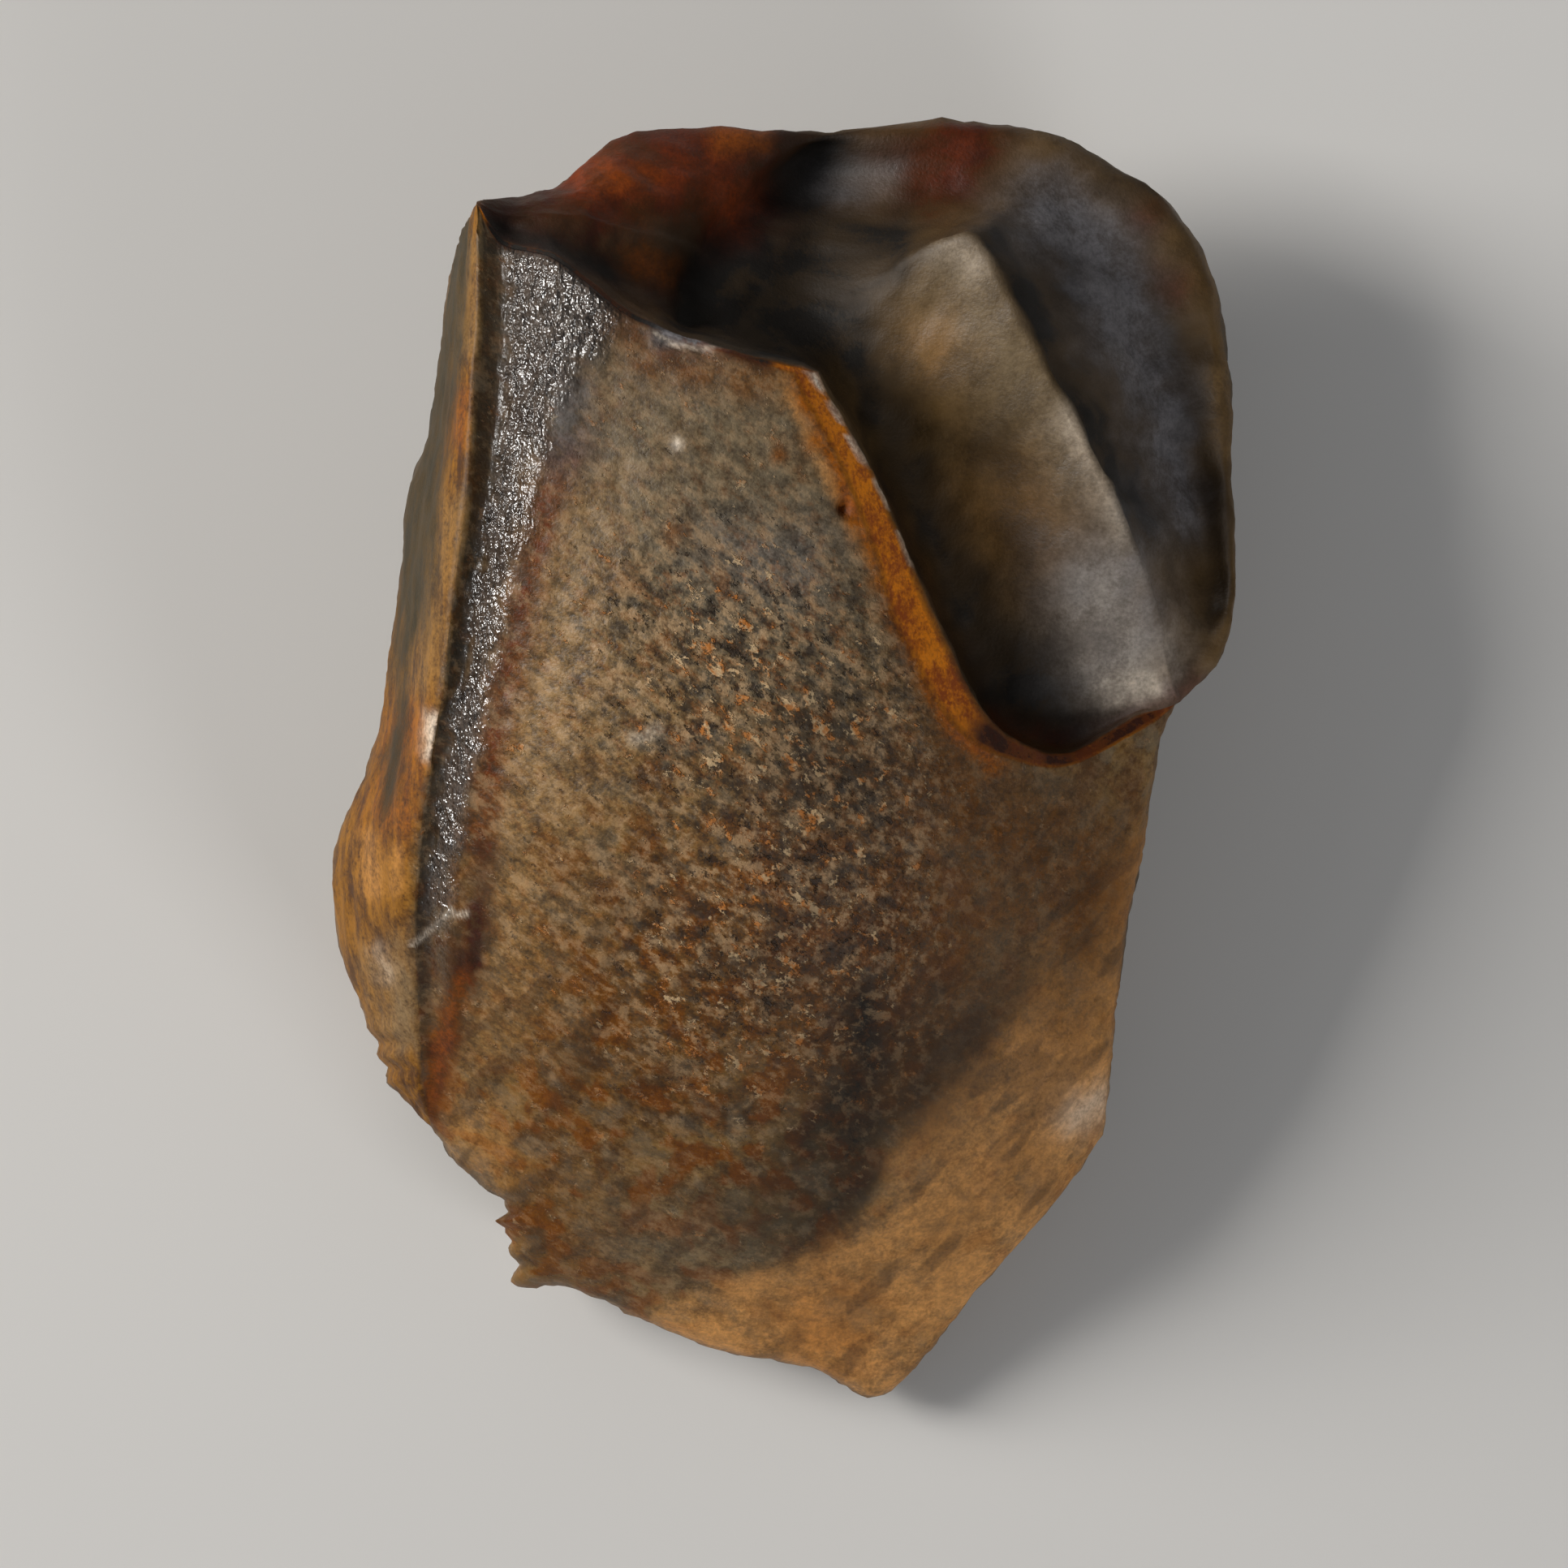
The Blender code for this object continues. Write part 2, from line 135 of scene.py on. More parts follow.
# Along the ridge: (y, groove width, share of the profile's height)
RIDGE_TAPER = [
    (12.0, 1.7, 1.0), (8.0, 1.65, 1.0), (5.0, 1.3, 1.0), (2.0, 1.0, 0.85), (-1.0, 0.85, 0.6),
    (-4.0, 0.7, 0.4), (-6.8, 0.5, 0.1),
]
GROOVE_SPAN = 1.9

# A shallow trough slants down the lower right of the face
TROUGH_START, TROUGH_END = (6.2, -1.6), (-0.4, -9.6)
TROUGH_DEPTH, TROUGH_WIDTH = 0.25, 1.3

# Stations across the root end, from the root corner round to the hollow's lower corner. edge is the broken
# edge, lip the step from it up to the enamel, and drop how far the edge lies below the enamel. Then come the
# foot of the wall inside, the crest of the wedge that stands in the hollow, the valley behind it and the rim.
Station = namedtuple("Station", "edge lip drop foot wedge valley rim")
ROOT_END = [
    Station(
        (-5.15, 9.6), (-0.05, -0.08), 0.05,
        (-5.1, 9.8, 9.9), (-5.0, 10.0, 9.8), (-4.95, 10.2, 9.6), (-4.9, 10.4, 9.3),
    ),
    Station(
        (-4.2, 9.3), (-0.03, -0.09), 0.05,
        (-4.15, 9.6, 9.9), (-4.05, 10.1, 9.6), (-4.0, 10.5, 9.2), (-3.95, 10.8, 8.6),
    ),
    Station(
        (-2.9, 8.3), (-0.05, -0.08), 0.08,
        (-2.85, 8.7, 9.3), (-2.9, 9.9, 9.1), (-2.9, 10.9, 8.5), (-2.9, 11.5, 7.6),
    ),
    Station(
        (-1.8, 7.8), (-0.03, -0.09), 0.08,
        (-1.75, 8.3, 8.6), (-1.6, 9.6, 8.0), (-1.45, 10.8, 7.8), (-1.3, 11.65, 6.9),
    ),
    Station(
        (0.0, 7.25), (-0.02, -0.08), 0.08,
        (0.1, 7.8, 8.0), (0.3, 9.2, 6.9), (0.6, 10.8, 6.0), (1.1, 11.75, 6.3),
    ),
    Station(
        (0.5, 7.2), (-0.34, -0.1), 0.35,
        (0.7, 7.5, 7.8), (1.1, 9.0, 7.2), (1.6, 10.7, 6.1), (2.2, 11.9, 6.0),
    ),
    Station(
        (0.75, 6.8), (-0.45, 0.0), 0.4,
        (1.05, 7.1, 7.6), (1.9, 9.0, 7.6), (2.5, 10.6, 6.3), (3.3, 12.0, 5.8),
    ),
    Station(
        (1.5, 5.5), (-0.5, -0.05), 0.4,
        (1.9, 5.8, 7.2), (3.4, 9.75, 8.2), (4.5, 10.6, 6.2), (5.55, 11.5, 5.3),
    ),
    Station(
        (2.1, 4.2), (-0.55, -0.1), 0.45,
        (2.5, 4.5, 6.9), (4.4, 8.2, 8.2), (6.1, 8.9, 5.6), (7.68, 9.85, 5.0),
    ),
    Station(
        (2.8, 2.6), (-0.7, -0.2), 0.45,
        (3.2, 2.9, 6.6), (5.3, 6.6, 8.0), (7.0, 7.1, 5.2), (8.3, 7.5, 5.0),
    ),
    Station(
        (3.65, 0.95), (-0.5, -0.3), 0.35,
        (4.0, 1.3, 6.4), (6.0, 5.2, 7.8), (7.4, 5.3, 4.9), (8.35, 5.6, 5.2),
    ),
    Station(
        (4.4, 0.35), (-0.15, -0.3), 0.25,
        (4.7, 0.75, 6.3), (6.5, 4.2, 7.4), (7.7, 3.9, 5.1), (8.45, 3.8, 5.4),
    ),
    Station(
        (5.3, 0.2), (0.0, -0.25), 0.2,
        (5.6, 0.6, 6.1), (7.0, 2.9, 6.7), (7.75, 2.6, 5.5), (8.3, 2.3, 5.6),
    ),
    Station(
        (6.5, 0.8), (0.1, -0.2), 0.1,
        (6.6, 1.0, 6.0), (7.1, 1.9, 6.2), (7.4, 1.75, 5.8), (7.75, 1.5, 5.7),
    ),
]

# The wear facet's edge, as a share of the way from its centre to the outline: (y, share)
FACET_SHARES = [(12.0, 0.5), (6.0, 0.6), (0.0, 0.76), (-6.0, 0.9), (-12.0, 0.95)]
EDGE_SMOOTHINGS = 190
# How far the wall turns in, in degrees, before the wear facet cuts it off
WALL_TURN = 66.0

# The photo's frame at the tooth: its width, and its centre against the middle of the tooth
FRAME_WIDTH = 29.18
FRAME_CENTRE = (0.0, -0.41)
LENS = 400.0
SENSOR = 36.0
FOCUS_HEIGHT = 6.0

# Lights: direction from the tooth, distance, width and height in metres, watts and colour
LIGHTS = {
    "key_light": ((-0.85, 0.25, 0.62), 0.3, (0.1, 0.16), 0.9, (1.0, 0.97, 0.93)),
    "fill_light": ((0.6, -0.75, 0.6), 0.35, (0.12, 0.12), 0.3, (1.0, 1.0, 1.0)),
    "glint_light": ((-0.68, 0.1, 0.74), 0.3, (0.07, 0.12), 0.9, (1.0, 1.0, 1.0)),
}
SKY_COLOUR = (0.17, 0.175, 0.185, 1.0)
FLOOR_COLOUR = (0.62, 0.61, 0.59, 1.0)
FLOOR_REACH, FLOOR_DROP = 0.6, 0.00002

# Colours, as sRGB values from 0 to 255
PATCH_COLOURS = {
    "face": ((82, 57, 31), (134, 107, 70)),
    "lip": ((150, 70, 12), (232, 140, 50)),
    "hollow": ((70, 53, 31), (112, 88, 57)),
    "flank": ((72, 43, 16), (144, 101, 50)),
    "wall": ((80, 57, 36), (138, 106, 72)),
    "facet": ((78, 54, 32), (122, 92, 58)),
}
GLOSS_COLOURS = (44, 38, 33), (90, 81, 75)
CRUMB_COLOURS = (214, 186, 148), (192, 128, 80)
OLIVE_COLOUR = (37, 36, 18)
PIT_COLOUR = (34, 23, 14)
RUST_BLOTCHES = (118, 62, 16)
GREY_BLOTCHES = (110, 104, 88)
TINTS = {
    "tan": (134, 107, 73),
    "grey": (108, 95, 75),
    "ochre": (200, 150, 101),
    "brown": (92, 56, 22),
    "rust": (88, 42, 16),
    "maroon": (54, 22, 6),
    "dark": (22, 17, 11),
    "slate": (104, 101, 102),
    "red": (122, 48, 8),
    "orange": (150, 80, 26),
    "pale": (220, 206, 188),
}

# Every tint varies between these shares of its value
TINT_SHADES = (0.8, 1.14)
SATURATION = 1.12

# How far each of these tints is free of grit
GRIT_FREE = {
    "ochre": 0.8, "red": 1.0, "maroon": 1.0, "orange": 0.7,
    "rust": 0.2, "dark": 0.5, "slate": 0.5, "pale": 1.0,
}
# The tones of the grit: which of three noises, its value where the tone starts and is full, strength, colour
GRIT_TONES = [
    (1, 0.5, 0.64, 0.5, (132, 84, 48)),
    (1, 0.5, 0.36, 0.4, (80, 80, 74)),
    (2, 0.48, 0.64, 0.62, (188, 158, 124)),
    (2, 0.5, 0.36, 0.76, PIT_COLOUR),
]

# The shader's fixed settings
SHADER_SETTINGS = {"Coat Roughness": 0.17, "Coat IOR": 1.6, "Specular IOR Level": 0.22}
FLOOR_ROUGHNESS = 0.8
# The shader's roughness, and how a full share of a patch, tint or finish changes it
ROUGHNESS, SPECKLED_ROUGHNESS = 0.44, 0.16
ROUGHNESS_CHANGES = {"gloss": -0.34, "tint_dark": 0.2, "flank": 0.1, "facet": -0.15}
# The shader's own relief, in millimetres
GRAIN_HEIGHT, SPECKLE_HEIGHT, CRUMB_HEIGHT, WRINKLE_HEIGHTS = 0.012, 0.05, 0.035, (0.18, 0.25)

# The shader's noises: how many waves to a millimetre, along each axis where they differ, and how detailed
SHADER_NOISES = {
    "speckle": (5.0, 3.0),
    "grain": (15.0, 2.0),
    "fibres": ((4.5, 0.5, 3.0), 3.0),
    "wrinkles": ((6.5, 4.0, 5.5), 2.0),
    "bursts": ((1.6, 1.1, 1.4), 2.0),
}
# The coarse noise of the grit, turned by so many degrees. Crumbs stand out of its peaks and pits lie in its
# dips, between these values, which shift by so much where the light grains crowd together.
GRIT_NOISE, GRIT_TURN = ((2.4, 3.8, 3.2), 4.0), 40.0
RAISED, RAISED_SHIFT = (0.72, 0.79), 0.1
SUNKEN, SUNKEN_SHIFT = (0.37, 0.29), 0.05

# Marks by patch and tint: reach on either side, strength, and the line they follow. Most are stains, streaks
# and spots; the painted shade and painted highlights among them are noted where they stand.
MARKS = {
    ("face", "tan"): [
        (1.1, 0.8, [(-3.6, 4.5), (-4.0, 2.7), (-4.5, 0.9), (-4.9, -0.9), (-5.2, -2.9), (-5.4, -4.9)]),
        (0.8, 0.5, [(-2.5, 2.7), (-3.7, -0.9), (-4.2, -3.9)]),
        (0.7, 0.35, [(-2.7, 6.4), (-1.6, 6.7)]),
        (0.6, 0.4, [(3.4, -6.6), (2.6, -8.4), (1.4, -9.6)]),
        (0.4, 0.6, [(2.9, -6.4)]),
        (0.1, 0.9, [(-1.59, -1.37), (-0.94, -1.86)]),
        (0.1, 0.9, [(-0.94, -3.34), (-0.18, -3.87)]),
        (0.12, 0.7, [(-0.26, -3.79), (0.5, -4.02)]),
        (0.15, 0.7, [(1.71, -3.49), (2.46, -3.11)]),
        (0.12, 0.6, [(0.65, -0.92), (1.4, -1.22)]),
        (0.1, 0.9, [(-0.51, 4.74)]),
        (0.1, 0.8, [(-0.51, 3.13)]),
    ],
    ("face", "grey"): [
        (2.6, 0.85, [(-1.6, 6.9), (-0.6, 4.5)]),
        (2.2, 0.7, [(-1.0, 3.6), (0.5, 2.1)]),
        (1.5, 0.6, [(-3.7, 8.1), (-2.7, 7.5)]),
        (1.6, 0.65, [(3.0, -0.4), (4.6, -1.8)]),
        (0.9, 0.45, [(4.9, -1.5), (4.0, -3.9), (3.2, -5.3)]),
        (0.6, 0.6, [(1.4, -11.7), (2.1, -11.7)]),
        (1.1, 0.55, [(-2.8, -8.9), (-0.7, -9.2)]),
        (0.12, 0.6, [(-2.52, -5.3), (-1.31, -6.51)]),
        (0.16, 0.7, [(-3.5, -1.53), (-2.75, -2.28)]),
    ],
    ("face", "slate"): [
        # Painted shade: a bluish tinge on the swell's far side, right of the polish, which faces away from
        # the light.
        (0.6, 0.35, [(-4.1, 6.9), (-4.1, 5.9)]),
        (0.8, 0.35, [(-0.9, 3.9), (0.2, 3.6)]),
    ],
    ("face", "dark"): [
        # Painted shade: a dark spot on the swell's far side, right of the polish, which faces away from the
        # light.
        (0.6, 0.6, [(-3.9, 7.1), (-4.1, 6.0)]),
        (0.9, 0.5, [(-0.1, -0.2), (0.6, 0.6)]),
        (0.7, 0.5, [(1.4, -0.5), (0.9, -0.3)]),
        # The next four darken the face along and beside the shallow trough.
        (0.6, 0.4, [(4.4, -4.1), (3.2, -5.3)]),
        (1.1, 0.55, [(2.6, -5.9), (1.9, -6.5), (0.5, -7.7), (-0.1, -8.5)]),
        (0.45, 0.5, [(1.4, -4.5), (1.1, -6.2), (0.3, -7.1)]),
        (0.4, 0.65, [(1.4, -4.3), (1.7, -5.6), (1.2, -6.5), (1.5, -7.7), (0.7, -8.7)]),
        (0.5, 0.35, [(4.9, -8.1)]),
        # Painted shade inside the small hole.
        (0.16, 1.0, [(1.05, 4.64), (1.15, 4.64)]),
    ],
    ("face", "brown"): [
        (0.5, 0.75, [(-3.1, 8.0), (-2.3, 7.4), (-1.3, 7.2), (-0.3, 7.1)]),
        (2.6, 0.6, [(-3.1, -4.6), (-1.0, -3.6), (1.2, -3.2)]),
        (1.6, 0.75, [(2.9, -0.3), (4.3, -1.4), (5.2, -2.3)]),
        (1.6, 0.7, [(2.2, -3.2), (1.2, -5.0)]),
        (1.0, 0.5, [(3.4, -4.9), (2.4, -6.2)]),
        (0.8, 0.45, [(6.3, -1.6), (5.9, -3.4), (5.4, -4.9)]),
        (0.6, 0.3, [(4.3, -7.4), (3.0, -8.9)]),
        (1.2, 0.5, [(-4.6, -8.3), (-4.0, -9.4)]),
    ],
    ("face", "maroon"): [
        (0.3, 0.35, [(-3.1, 8.1), (-2.3, 7.5), (-1.3, 7.4)]),
        (0.3, 0.7, [(-5.5, -1.6), (-5.6, -2.6)]),
        (0.36, 0.95, [(-5.7, -3.0), (-5.85, -3.8), (-6.15, -4.6), (-6.45, -5.5), (-6.65, -6.5)]),
    ],
    ("face", "rust"): [
        (0.36, 0.85, [(-4.0, 5.6), (-4.4, 4.5), (-4.7, 3.3), (-5.1, 1.6), (-5.4, 0.1), (-5.6, -1.5)]),
        (0.6, 0.35, [(-1.8, -2.6)]),
        (0.7, 0.35, [(0.5, -3.3)]),
    ],
    ("face", "orange"): [
        (0.2, 0.35, [(-5.95, -4.0), (-6.15, -4.6), (-6.45, -5.4), (-6.6, -6.4)]),
        (0.9, 0.3, [(0.9, -10.7)]),
        (0.2, 0.7, [(0.3, 6.9), (0.9, 5.6), (1.4, 4.3), (2.1, 2.5), (3.0, 0.8), (3.9, -0.1)]),
        (0.13, 0.7, [(-0.11, 5.65)]),
        (0.14, 0.9, [(0.54, 5.85)]),
        (0.16, 0.3, [(-2.07, 4.21)]),
        (0.2, 0.3, [(-2.9, 3.31)]),
    ],
    ("face", "pale"): [
        (0.045, 0.6, [(-6.25, -2.84), (-5.85, -2.8)]),
        # Painted highlight: a soft glint on the heel.
        (0.4, 0.5, [(5.5, -6.6), (5.9, -6.4)]),
        (0.12, 0.35, [(-2.75, 0.41), (-2.3, 0.59)]),
        (0.1, 1.0, [(-1.99, 5.83)]),
    ],
    ("face", "ochre"): [
        (0.12, 0.6, [(0.0, 7.0), (0.6, 5.6), (1.1, 4.6), (1.7, 3.4)]),
        (0.6, 0.35, [(-6.0, -6.7), (-5.3, -7.4)]),
    ],
    ("face lip", "slate"): [
        (0.24, 0.9, [(-2.2, 7.84), (-1.25, 7.82)]),
    ],
    ("face lip", "pale"): [
        (0.04, 0.5, [(-2.35, 7.86), (-2.0, 7.63), (-1.6, 7.58), (-1.2, 7.63), (-1.05, 7.75)]),
    ],
    ("face lip", "maroon"): [
        # Painted shadow: a dark red-brown line along the top edge's step.
        (0.1, 1.0, [(-5.4, 9.9), (-5.2, 9.55), (-4.2, 9.25), (-2.9, 8.25), (-2.3, 7.95)]),
        (0.16, 0.9, [(-1.0, 7.5), (-0.3, 7.3)]),
    ],
    ("face flank", "pale"): [
        (0.045, 0.9, [(-6.83, -3.35), (-6.25, -2.84), (-6.15, -2.72)]),
    ],
    ("lip", "pale"): [
        # Painted highlights: dashes along the lip's sharp edge.
        (0.08, 1.0, [(0.42, 7.2), (0.66, 6.85)]),
        (0.07, 0.9, [(0.85, 6.55), (1.02, 6.25)]),
        (0.08, 1.0, [(1.2, 5.95), (1.48, 5.5)]),
        (0.06, 0.9, [(1.66, 5.15), (1.9, 4.7)]),
        (0.05, 0.8, [(2.1, 4.2), (2.35, 3.6)]),
    ],
    ("lip", "dark"): [
        # Painted shadow on the lip's step down from the top edge.
        (0.5, 1.0, [(-5.2, 9.6), (-4.2, 9.3), (-2.9, 8.3), (-1.8, 7.75), (-0.6, 7.45)]),
    ],
    ("lip", "maroon"): [
        (0.6, 1.0, [(3.9, 0.5), (4.6, 0.3), (5.3, 0.1), (6.5, 0.7), (7.1, 1.0)]),
    ],
    ("slab", "grey"): [
        # Painted light: lighter towards the wedge's crest, where the slab faces the light clear of the lip's
        # shade.
        (1.1, 0.65, [(3.3, 9.3), (4.7, 6.6), (6.1, 4.4)]),
    ],
    ("slab", "pale"): [
        # Painted highlights along the wedge's crest.
        (0.35, 0.2, [(2.9, 9.6), (3.5, 9.3)]),
        (0.35, 0.35, [(5.3, 6.4), (6.0, 5.1), (6.4, 4.4)]),
    ],
    ("slab", "dark"): [
        # Painted shadow at the slab's foot, beside the lip's wall.
        (0.7, 0.8, [(1.2, 7.6), (2.0, 5.8), (2.9, 4.0), (3.7, 2.4), (4.4, 1.4)]),
    ],
    ("slab", "maroon"): [
        (0.3, 0.5, [(1.7, 5.2), (2.8, 2.9), (3.8, 1.2)]),
    ],
    ("valley", "dark"): [
        (1.6, 0.6, [(5.0, 9.6), (6.6, 7.4), (7.4, 4.6)]),
        # Painted shade on the valley's side just past the wedge's crest, which faces away from the light.
        (0.5, 0.9, [(3.7, 9.6), (5.2, 7.0), (6.6, 4.5)]),
        (0.5, 0.6, [(5.0, 9.6), (5.5, 8.6)]),
        (0.4, 0.6, [(6.3, 8.2), (7.0, 7.9)]),
    ],
    ("valley", "slate"): [
        # Painted highlights: blue-grey streaks down the valley.
        (0.8, 0.9, [(4.9, 10.3), (6.0, 9.4), (6.2, 8.5)]),
        (0.6, 0.8, [(6.4, 7.9), (7.1, 6.6)]),
        (0.5, 0.8, [(7.0, 6.0), (7.5, 4.6)]),
    ],
    ("slab valley", "maroon"): [
        (1.3, 1.0, [(-5.6, 10.2), (-4.0, 10.5), (-2.5, 10.9), (-1.0, 11.1), (-0.1, 11.6)]),
        # Painted shadow: the dark red-brown band just beyond the top edge.
        (0.6, 0.8, [(-5.5, 10.0), (-4.0, 9.6), (-3.0, 9.0), (-2.1, 8.7)]),
        (0.9, 0.97, [(2.6, 11.0), (3.5, 11.6)]),
    ],
    ("slab valley", "red"): [
        (0.6, 0.75, [(-3.6, 10.8), (-2.5, 10.7), (-1.6, 11.0), (-0.9, 10.5)]),
        (0.5, 0.35, [(2.8, 11.1), (3.3, 11.5)]),
    ],
    ("slab valley", "orange"): [
        (0.3, 0.3, [(-3.4, 10.8), (-2.5, 10.8)]),
        (0.3, 0.5, [(-2.6, 9.2), (-2.2, 9.1)]),
        (0.25, 0.5, [(-1.2, 11.5), (-0.5, 11.5)]),
    ],
    ("slab valley", "dark"): [
        # Painted shadow just beyond the top edge.
        (0.3, 0.8, [(-5.5, 9.9), (-4.3, 9.5), (-3.1, 8.9)]),
        # The next three are painted shadow: in the open cleft and over the shaded pocket above the slab.
        (0.75, 1.0, [(0.8, 11.4), (-0.1, 10.6), (-1.0, 9.65), (-1.6, 8.9), (-1.5, 8.4), (-0.1, 7.7)]),
        (1.3, 0.95, [(-0.1, 9.6), (-0.1, 8.6)]),
        (0.8, 1.0, [(0.2, 8.6), (0.9, 8.6), (0.9, 9.3), (1.9, 9.6)]),
        # Painted shade in the bottom of the bowl.
        (1.0, 0.7, [(4.3, 1.6), (5.5, 1.0)]),
        (0.5, 0.5, [(7.3, 7.3), (7.3, 6.4)]),
    ],
    ("slab valley", "grey"): [
        (0.25, 0.45, [(-4.2, 9.8), (-2.1, 9.8)]),
    ],
    ("slab valley", "slate"): [
        (0.4, 0.4, [(0.9, 10.7), (1.9, 11.1)]),
        (1.1, 0.9, [(5.9, 3.3), (6.2, 2.1)]),
    ],
    ("slab valley", "ochre"): [
        (0.6, 0.15, [(2.9, 7.8)]),
        (1.2, 0.2, [(3.9, 4.6), (4.5, 4.2)]),
    ],
    ("slab valley", "pale"): [
        # The next two are painted highlights: a light sheen in the bowl and a glint at its lower rim.
        (0.9, 0.3, [(5.8, 3.0), (6.3, 2.0)]),
        (0.3, 0.6, [(6.2, 1.3), (6.75, 1.45)]),
    ],
    ("slab valley", "rust"): [
        (0.35, 0.7, [(6.7, 10.1)]),
        (0.4, 0.7, [(7.2, 8.9)]),
        (0.25, 0.9, [(3.9, 0.8), (5.0, 0.45), (6.2, 0.8), (7.0, 1.2), (7.6, 1.4)]),
    ],
    ("slab valley", "tan"): [
        (0.22, 0.8, [(8.05, 7.2), (8.15, 5.8)]),
    ],
    ("flank", "pale"): [
        (0.17, 0.8, [(-6.45, 0.75), (-6.5, 0.2)]),
        (0.16, 0.22, [(-7.55, -3.5), (-7.4, -4.0)]),
    ],
    ("flank", "orange"): [
        (0.3, 0.35, [(-5.9, 6.7), (-5.95, 6.0)]),
        (0.5, 0.4, [(-6.9, 0.6), (-7.2, -0.9)]),
    ],
    ("flank", "tan"): [
        (0.35, 0.5, [(-5.8, 9.3), (-5.85, 7.6)]),
        (0.4, 0.4, [(-6.1, 4.6), (-6.5, 2.6), (-6.7, 1.4)]),
        (0.5, 0.6, [(-7.5, -3.9), (-7.2, -4.7)]),
    ],
    ("flank", "ochre"): [
        (0.2, 0.4, [(-7.7, -1.4), (-7.65, -2.4)]),
        (0.15, 0.35, [(-7.15, -1.6), (-7.15, -2.3)]),
    ],
    ("flank", "grey"): [
        (0.4, 0.5, [(-7.0, -3.4), (-7.0, -5.2)]),
    ],
}

# Light grains crowd together along the middle of the face
GRAINY_LINE, GRAINY_REACH = [(-0.9, 2.0), (0.5, 0.0), (0.3, -2.5), (-0.6, -4.8)], 3.0
# The share of the grit away from them, and where it thickens. So much of it is rubbed off towards each side,
# between two distances.
COMMON_GRIT, GRIT_THICKENS = 0.6, (-0.3, 0.6)
GRIT_LOSSES = {"right": (0.65, 1.6, 3.6), "tip": (0.5, 2.5, 7.0), "root": (0.4, 2.5, 5.5)}

# Bands of the groove: how many groove widths out each begins and ends, and between which y it sets in.
# Towards the root end the polish spreads out by so much more, between two y, into a fan.
# The first band is a dark strip in the groove's bottom: painted shade where the ridge's side faces away from
# the light.
PAINTED_SHADE_STRIP = ((0.02, 0.1), (0.34, 0.5), (-6.0, -3.6))
POLISH = ((0.2, 0.45), (0.65, 1.2), (-4.8, -2.0))
POLISH_RAGGEDNESS = 0.16
FAN_SPREAD, FAN_Y = 0.75, (6.2, 8.6)

# The lower right of the face is stained ochre up to this line, over this distance
OCHRE_EDGE = [
    (8.0, 0.5), (6.6, -1.4), (5.6, -2.6), (5.0, -3.6), (4.4, -4.75), (2.9, -6.0), (2.3, -7.0), (2.0, -8.0),
    (1.0, -9.0), (-0.6, -9.6), (-2.6, -10.4), (-4.5, -11.0),
]
OCHRE_FADE, OCHRE_WANDER, OCHRE_RAGGEDNESS = 1.2, 1.6, 0.35
# The edge slants, so straight across it is this share of the way to the right
OCHRE_SLANT = 0.75
# The stain's mean strength, how much it varies, and its least and most
OCHRE_STRENGTH, OCHRE_PATCHINESS, OCHRE_LIMITS = 0.84, 0.4, (0.4, 0.96)

# The dark olive band on the flank, an olive tint that is also painted shade where the flank turns away from
# the light, sets in between these y and these shares of the way out, each edge being this ragged. On the wall
# the olive lies in patches, which gather towards the root end.
OLIVE_BAND_Y, OLIVE_BAND_Y_RAGGEDNESS = (-1.0, 3.0), 4.5
OLIVE_BAND_SHARES, OLIVE_BAND_RAGGEDNESS = (0.12, 0.7), 0.25
WALL_FILM, WALL_FILM_PATCHES, WALL_FILM_RISE = 0.8, (-0.05, 0.3), 0.25

# How strong the painted shade in the groove's bottom is, and between which -y the stains of the lower face
# set in
GROOVE_PAINTED_SHADE = 0.75
LOWER_FACE = (-1.0, 3.5)
# Ragged edges wander by less than this
MOST_WANDER = 0.3

# How far wear raises or lowers the skin, in millimetres: all over, and by patch
SWELL_HEIGHT, STREAK_HEIGHT, PIT_DEPTH = 0.07, 0.03, 0.05
WEAR_HEIGHTS = {
    "grain": {"face": 0.02, "lip": 0.03, "slab valley": 0.035, "flank": 0.02, "wall": 0.03, "facet": 0.008},
    "fibres": {"flank": 0.05, "wall": 0.06},
    "lumps": {"slab": 0.06, "valley": 0.2},
}
# The streaks set in between these -y. The pits: how many to a millimetre, their size and their shift,
# where their fields begin, and how strong they are on the wall.
STREAKED_FACE = (0.5, 4.0)
PITS, PIT_FIELD_EDGE, WALL_PITTING = (1.7, 0.32, 5.0), -0.05, 0.7

# The noises on the skin: how many waves to a millimetre, along each axis where they differ, how many
# octaves, and a shift that sets each apart
NOISES = {
    "swells": (0.35, 2, 3.0),
    "grain": (2.6, 3, 9.0),
    "fibres": ((3.2, 0.5, 2.2), 3, 21.0),
    "lumps": ((0.45, 0.8, 0.5), 3, 71.0),
    "streaks": ((0.5, 2.4, 0.6), 3, 55.0),
    "pit fields": (0.6, 2, 31.0),
    "polish edge": (1.6, 3, 17.0),
    "ochre edge": ((0.5, 1.6, 0.6), 4, 29.0),
    "ochre patches": ((0.7, 1.1, 0.8), 4, 91.0),
    "olive band edge": ((0.45, 0.35, 0.45), 5, 61.0),
    "film patches": ((0.28, 0.2, 0.28), 5, 83.0),
    "mottling": (1.1, 4, 13.0),
    "blotches": (1.7, 3, 37.0),
}

# The open cleft in the hollow, a hole in the face and a nick in the ridge: patches, line, reach and depth
DEEP_MARKS = [
    ("slab valley", [(0.8, 11.4), (-0.1, 10.6), (-1.0, 9.7), (-1.6, 8.9), (-1.7, 8.4)], 0.4, 0.3),
    ("face", [(1.1, 4.64)], 0.1, 0.3),
    ("flank face", [(-6.4, 0.82), (-6.45, 0.14)], 0.2, 0.12),
]
